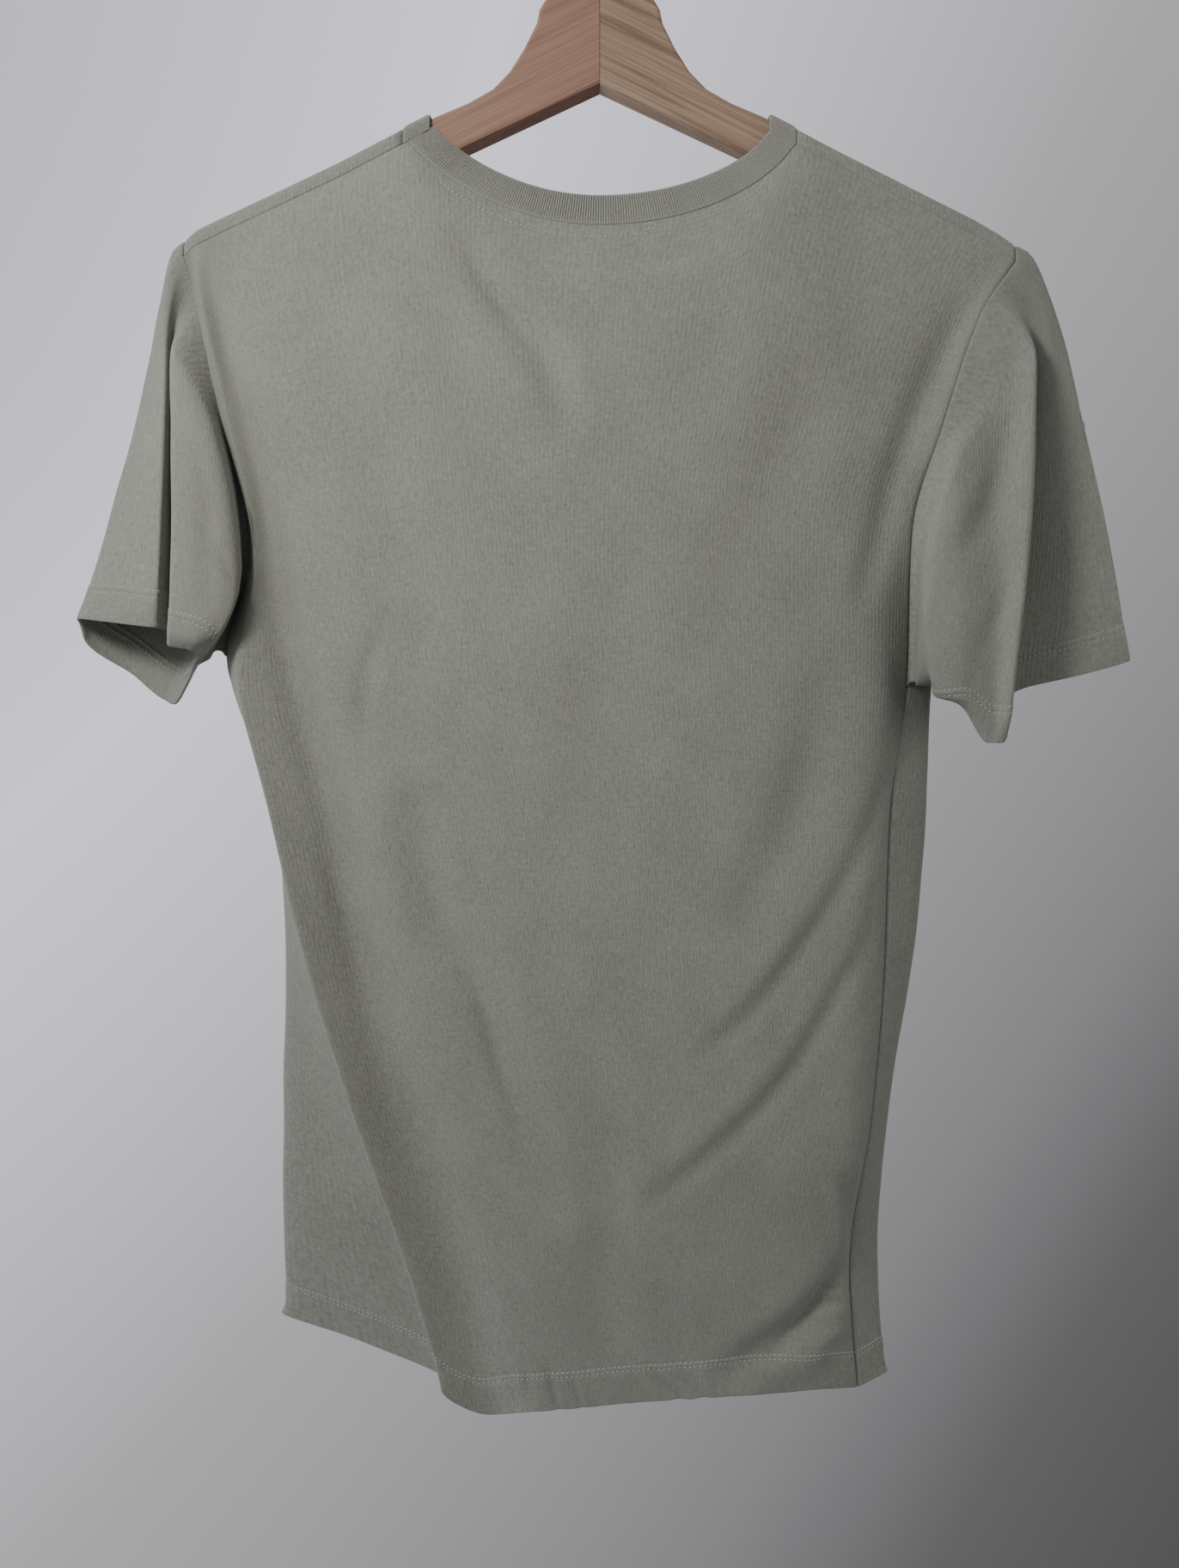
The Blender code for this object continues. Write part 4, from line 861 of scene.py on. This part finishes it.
def make_sleeve(name, side, lines, creases, round_head, seed):
    """Rings from the armhole's own points, down the sleeve's lines to its cuff."""
    ring = armhole(back_flat, front_flat, side)
    run = travel(closed(ring))
    share = run[:-1] / run[-1]
    shares = np.array([row[0] for row in lines.values()])
    places = spread([row[1:] for row in lines.values()])
    wrapped_shares = np.concatenate((shares[-2:] - 1, shares, shares[:2] + 1))
    wrapped = np.concatenate((places[-2:], places, places[:2]))
    even = np.arange(len(ring)) / len(ring)
    stops = [ring]
    for level, evenness in enumerate(SLEEVE_EVENNESS):
        mixed = share + evenness * (even - share)
        stops.append(smooth(wrapped_shares, wrapped[:, level], mixed))
    stops = np.array(stops)
    # The sleeve first runs on from its armhole, across the seam and outwards.
    along = unit(np.roll(ring, -1, axis=0) - np.roll(ring, 1, axis=0))
    leave = unit(stops[1] - ring)
    leave = unit(leave - along * np.sum(leave * along, axis=1, keepdims=True))
    leave = unit(leave + np.array((side, 0.0, 0.0)))
    stops = np.concatenate((stops[:1], (ring + SLEEVE_ROOT * leave)[None], stops[1:]))
    place = np.linspace(0, 1, SLEEVE_ROWS)
    grid = smooth(SLEEVE_STOPS, stops, place)
    # Its head is rounded outwards and upwards near the crown line.
    head = np.sin(np.pi * np.clip(place / HEAD_REACH, 0, 1) ** 0.8) ** 2
    head = head[:, None] * np.exp(-((even - 0.5) / HEAD_WIDTH) ** 2)[None]
    grid = (grid + round_head * head[..., None] * np.array((0.75 * side, 0.0, 0.66)))[::-1, ::side]
    grid = ease(grid.copy(), SLEEVE_PASSES, around=True)
    for _ in range(CUFF_PASSES):
        grid[0] = 0.5 * grid[0] + 0.25 * (np.roll(grid[0], 1, axis=0) + np.roll(grid[0], -1, axis=0))
    # Creases and slack fade out towards the armhole, and creases are only in the near half.
    calm = np.clip(np.arange(SLEEVE_ROWS)[::-1] / 8, 0, 1)
    near_half = np.clip((9 - grid[..., 1]) / 8, 0, 1)
    depth = line_depth(as_seen(grid), creases, trough, TROUGH_REACH) * near_half
    depth += slack(grid, SLEEVE_SLACK, seed)
    grid = grid - outward(grid, around=True) * (depth * calm[:, None])[..., None]
    grid, distance = respace(grid, CUFF_STOPS, ARMHOLE_STOPS, SLEEVE_MIDDLE_ROWS)
    normal = outward(grid, around=True)
    own = normal[-1, ::side]
    theirs = armhole(back_normal, front_normal, side)
    agree = np.sum(own * theirs, axis=1, keepdims=True) > 0
    # At the armpit, where four seams meet, the sleeve keeps its own normals.
    agree[[0, 1, -1]] = False
    normal[-1] = np.where(agree, unit(own + theirs), own)[::side]
    lift = hem_relief(distance, CUFF_NEEDLES, CUFF_WIDTH)
    lift += hem_pucker(travel(closed(grid, 1), 1)[:, :-1], distance, CUFF_PUCKER, seed)
    lift += seam_valley(distance[-1][None] - distance, depth=0.3)
    lift[-1] = 0
    grid = grid + normal * lift[..., None]
    grid[-1] = armhole(back, front, side)[::side]
    thick = hem_thick(distance.shape, distance, CUFF_WIDTH, CUFF_LAYER)
    return shell(name, grid, normal, thick, around=True), grid, normal, thick


sleeves = {}
for sleeve_name, side, area, *shape in (
        ("sleeve_left", -1, 0.045, SLEEVE_LEFT_LINES, SLEEVE_LEFT_CREASES, 2.5, 5.0),
        ("sleeve_right", 1, 0.050, SLEEVE_RIGHT_LINES, SLEEVE_RIGHT_CREASES, 4.5, 7.0)):
    sleeves[sleeve_name] = make_sleeve(sleeve_name + "_cloth", side, *shape)
    sleeve = sleeves[sleeve_name][0]
    sleeve.data.materials.append(sage_jersey)
    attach(sleeve, "root")
    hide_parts(sleeve_name)

# Neck rib: a folded strip of one-by-one rib, sewn round the neck a little stretched, so that it
# stands up out of the seam. Its ribs are raised in the mesh.
RIB_WIDTH = 16.0
RIB_THICK = 1.8
RIB_PITCH = 1.42
RIB_RELIEF = 0.42
RIB_COLUMNS = 4              # columns of the mesh for each rib
RIB_HEIGHTS = (0.0, 0.5, 1.2, 2.5, 5.0, 8.0, 11.0, 13.5, 14.8, 15.4, 15.8, RIB_WIDTH)


def neck_ring(back_array, front_array):
    """Points or normals round the neck seam: along the back, over the wood and along the front."""
    first, last = back_neck
    right, left = front_neck
    return np.concatenate((back_array[-1, first:last + 1], front_array[-2:TOP_ROW:-1, right],
                           front_array[TOP_ROW, right:left + 1], front_array[TOP_ROW + 1:-1, left]))


def lay_out_rib():
    """The rib's rows from the panels' own points along the neck seam."""
    seam, normal = neck_ring(back, front), neck_ring(back_normal, front_normal)
    along = np.roll(seam, -1, axis=0) - np.roll(seam, 1, axis=0)
    # The rib stands up out of the seam, and where it crosses the hanger it lies along the shoulder.
    over_the_wood = np.abs(seam[:, :1]) > NECK_POINT - 0.6
    slope = np.stack((-np.sign(seam[:, 0]), np.zeros(len(seam)), np.full(len(seam), SHOULDER_SLOPE)), -1)
    up = np.cross(normal, along)
    up[:, 1] = 0.0
    up = unit(np.where(over_the_wood, slope, unit(up)))
    for _ in range(60):
        softer = unit(np.roll(up, 1, axis=0) + 2 * up + np.roll(up, -1, axis=0))
        up = np.where(over_the_wood, up, softer)
    run = travel(closed(seam))
    ribs = int(round(run[-1] / RIB_PITCH))
    want = np.linspace(0, run[-1], RIB_COLUMNS * ribs, endpoint=False)
    seam, up = read_along(closed(seam), run, want), unit(read_along(closed(up), run, want))
    along = np.roll(seam, -6, axis=0) - np.roll(seam, 6, axis=0)
    normal = unit(np.cross(along, up))
    wave = RIB_RELIEF * np.cos(2 * np.pi * np.arange(len(seam)) / RIB_COLUMNS)
    rows, thick = [], []
    for height in RIB_HEIGHTS:
        rise = np.clip(height / 1.5, 0, 1) * np.clip((RIB_WIDTH + 0.6 - height) / 1.5, 0.25, 1)
        rounding = np.sqrt(max(0.0, 1 - max(0.0, (height - RIB_WIDTH + 1.4) / 1.5) ** 2))
        half = RIB_THICK / 2 * (0.35 + 0.65 * rounding)
        rows.append(seam + up * height + normal * (half - 0.5 + wave * rise)[:, None])
        thick.append(2 * (half + wave * rise))
    return np.array(rows), np.array([normal] * len(rows)), np.array(thick)


rib_rows, rib_normal, rib_thick = lay_out_rib()
rib = shell("neck_rib_cloth", rib_rows, rib_normal, rib_thick, around=True)
sage_rib = jersey_finish("sage_rib", (0.36, 0.368, 0.318), (0.24, 0.247, 0.212), slub=0.6)
rib.data.materials.append(sage_rib)
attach(rib, "root")
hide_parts("neck_rib")

# Stitching: pale thread. Two needles run round the hem and the cuffs, and one holds the tape
# under the back neck seam. Each stitch is a small raised bead of thread, pressed at its ends.
STITCH_LENGTH = 2.1
STITCH_PITCH = 2.75
STITCH_BODY = 0.27           # share of its length from a stitch's middle to where it tapers
STITCH_LIFT = 0.08
STITCH_SINK = 0.12
THREAD = 0.62
TAPE_FROM = -86.0
TAPE_TO = 92.0
TAPE_NEEDLE = 8.5


def stitch_row(points, normals, around=False):
    """Places, directions and normals of even stitches along a line on the cloth."""
    if around:
        points, normals = closed(points), closed(normals)
    run = travel(points)
    want = np.arange(STITCH_PITCH, run[-1] - STITCH_PITCH / 2, STITCH_PITCH)
    ahead, behind = read_along(points, run, want + 0.9), read_along(points, run, want - 0.9)
    return read_along(points, run, want), unit(ahead - behind), unit(read_along(normals, run, want))


def sew(name, rows, thread_material):
    """All the stitches of some rows as one piece: beads with six sides and two pointed ends."""
    corners, faces = [], []
    for spot, along, face in rows:
        across = unit(np.cross(face, along))
        for index in range(len(spot)):
            line = unit(along[index] + 0.10 * np.sin(index * 2.3) * across[index])
            base = len(corners)
            middle = spot[index] + STITCH_LIFT * face[index]
            tip = line * STITCH_LENGTH / 2
            corners.append(middle - tip - STITCH_SINK * face[index])
            for end in (-STITCH_BODY, STITCH_BODY):
                for turn in range(6):
                    angle = np.pi * turn / 3
                    corners.append(middle + line * STITCH_LENGTH * end
                                   + across[index] * THREAD * 0.55 * np.cos(angle)
                                   + face[index] * THREAD * 0.5 * np.sin(angle))
            corners.append(middle + tip - STITCH_SINK * face[index])
            for turn in range(6):
                low, low_after = base + 1 + turn, base + 1 + (turn + 1) % 6
                faces.append((base, low, low_after))
                faces.append((low, low + 6, low_after + 6, low_after))
                faces.append((low + 6, base + 13, low_after + 6))
    mesh = bpy.data.meshes.new(name)
    mesh.from_pydata((np.array(corners) / 1000).tolist(), [], faces)
    mesh.shade_smooth()
    mesh.materials.append(thread_material)
    piece = add_object(name, mesh)
    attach(piece, "root")


thread, thread_tree, thread_shader = new_material("pale_thread")
thread_place = add_node(thread_tree, "TexCoord", {}).outputs["Object"]
thread_plies = cloudy(thread_tree, thread_place, (900, 900, 900), 2.0)
thread_colour = ramp(thread_tree, thread_plies, (0.0, (0.36, 0.37, 0.325)), (1.0, (0.5, 0.51, 0.45)))
fill(thread_tree, thread_shader, {"Roughness": 0.75, "Sheen Weight": 0.2, "Base Color": thread_colour})

hem_rows = []
for needle in HEM_NEEDLES:
    row = HEM_STOPS.index(needle)
    hem_rows.append(stitch_row(back[row], back_normal[row]))
    hem_rows.append(stitch_row(front[row], front_normal[row]))
sew("hem_stitches", hem_rows, thread)
for sleeve_name, (_, grid, normal, thick) in sleeves.items():
    cuff_rows = []
    for needle in CUFF_NEEDLES:
        row = CUFF_STOPS.index(needle)
        cuff_rows.append(stitch_row(grid[row], normal[row], around=True))
        inside = grid[row] - normal[row] * thick[row][:, None]
        cuff_rows.append(stitch_row(inside, -normal[row], around=True))
    sew("cuff_stitches_" + sleeve_name.removeprefix("sleeve_"), cuff_rows, thread)
tape_low = np.argmin(np.abs(back[-1, :, 0] - TAPE_FROM))
tape_high = np.argmin(np.abs(back[-1, :, 0] - TAPE_TO))
tape_row = back.shape[0] - 1 - TOP_STOPS.index(TAPE_NEEDLE)
tape = [np.concatenate((array[-2:tape_row:-1, tape_low], array[tape_row, tape_low:tape_high + 1],
                        array[tape_row + 1:-1, tape_high])) for array in (back, back_normal)]
sew("tape_stitches", [stitch_row(*tape)], thread)

# Setting: a pale floor well below the shirt, soft light from the upper left, and the camera
# where the photograph was taken from.
FLOOR_HEIGHT = -1.50
AIM = Vector((0, 0, -0.35))  # what the lamps point at

bpy.ops.mesh.primitive_circle_add(vertices=96, radius=0.62, fill_type="NGON", location=(0, 0, 0))
floor = bpy.context.object
floor.name = "floor"
for corner in floor.data.vertices:
    corner.co.z = FLOOR_HEIGHT
paint, paint_tree, paint_shader = new_material("floor_paint")
fill(paint_tree, paint_shader, {"Base Color": (0.62, 0.62, 0.64, 1), "Roughness": 0.9})
floor.data.materials.append(paint)

air = bpy.context.scene.world or bpy.data.worlds.new("air")
bpy.context.scene.world = air
air.use_nodes = True
sky = air.node_tree
direction = add_node(sky, "TexCoord", {}).outputs["Generated"]
to_window = add_node(sky, "VectorMath", {0: direction, 1: (-0.5, 0.2, 0.35)},
                     operation="DOT_PRODUCT").outputs["Value"]
daylight = ramp(sky, carry(sky, to_window, -0.345, 0.655), (0.09, (0.085, 0.080, 0.084)),
                (0.19, (0.135, 0.130, 0.135)), (0.27, (0.25, 0.24, 0.25)), (0.50, (0.48, 0.465, 0.485)),
                (0.74, (1.0, 1.0, 1.12)), (0.92, (0.62, 0.62, 0.66)))
fill(sky, sky.nodes["Background"], {"Strength": 1.0, "Color": daylight})

for lamp_name, lamp_size, lamp_power, lamp_place, lamp_colour in (
        ("window", 0.2, 3.8, (-0.45, -0.6, -0.1), (1.0, 0.985, 0.955)),
        ("room", 1.0, 4.0, (1.3, -0.35, -0.4), (1.0, 0.97, 0.95)),
        ("behind", 1.2, 4.0, (-0.8, 1.5, 0.2), (1.0, 1.0, 1.0))):
    lamp_data = bpy.data.lights.new(lamp_name, "AREA")
    lamp_data.shape = "DISK"
    lamp_data.size = lamp_size
    lamp_data.energy = lamp_power
    lamp_data.color = lamp_colour
    lamp = add_object(lamp_name, lamp_data)
    lamp.location = lamp_place
    lamp.rotation_euler = (AIM - Vector(lamp_place)).to_track_quat("-Z", "Y").to_euler()

lens = bpy.data.cameras.new("camera")
lens.lens = 26.0
lens.sensor_width = 36.0
camera = add_object("camera", lens)
camera.location = (EYE[0] / 1000, (FACE_DEPTH - EYE_DISTANCE) / 1000, EYE[1] / 1000)
camera.rotation_euler = (np.pi / 2, 0, 0)
bpy.context.scene.camera = camera
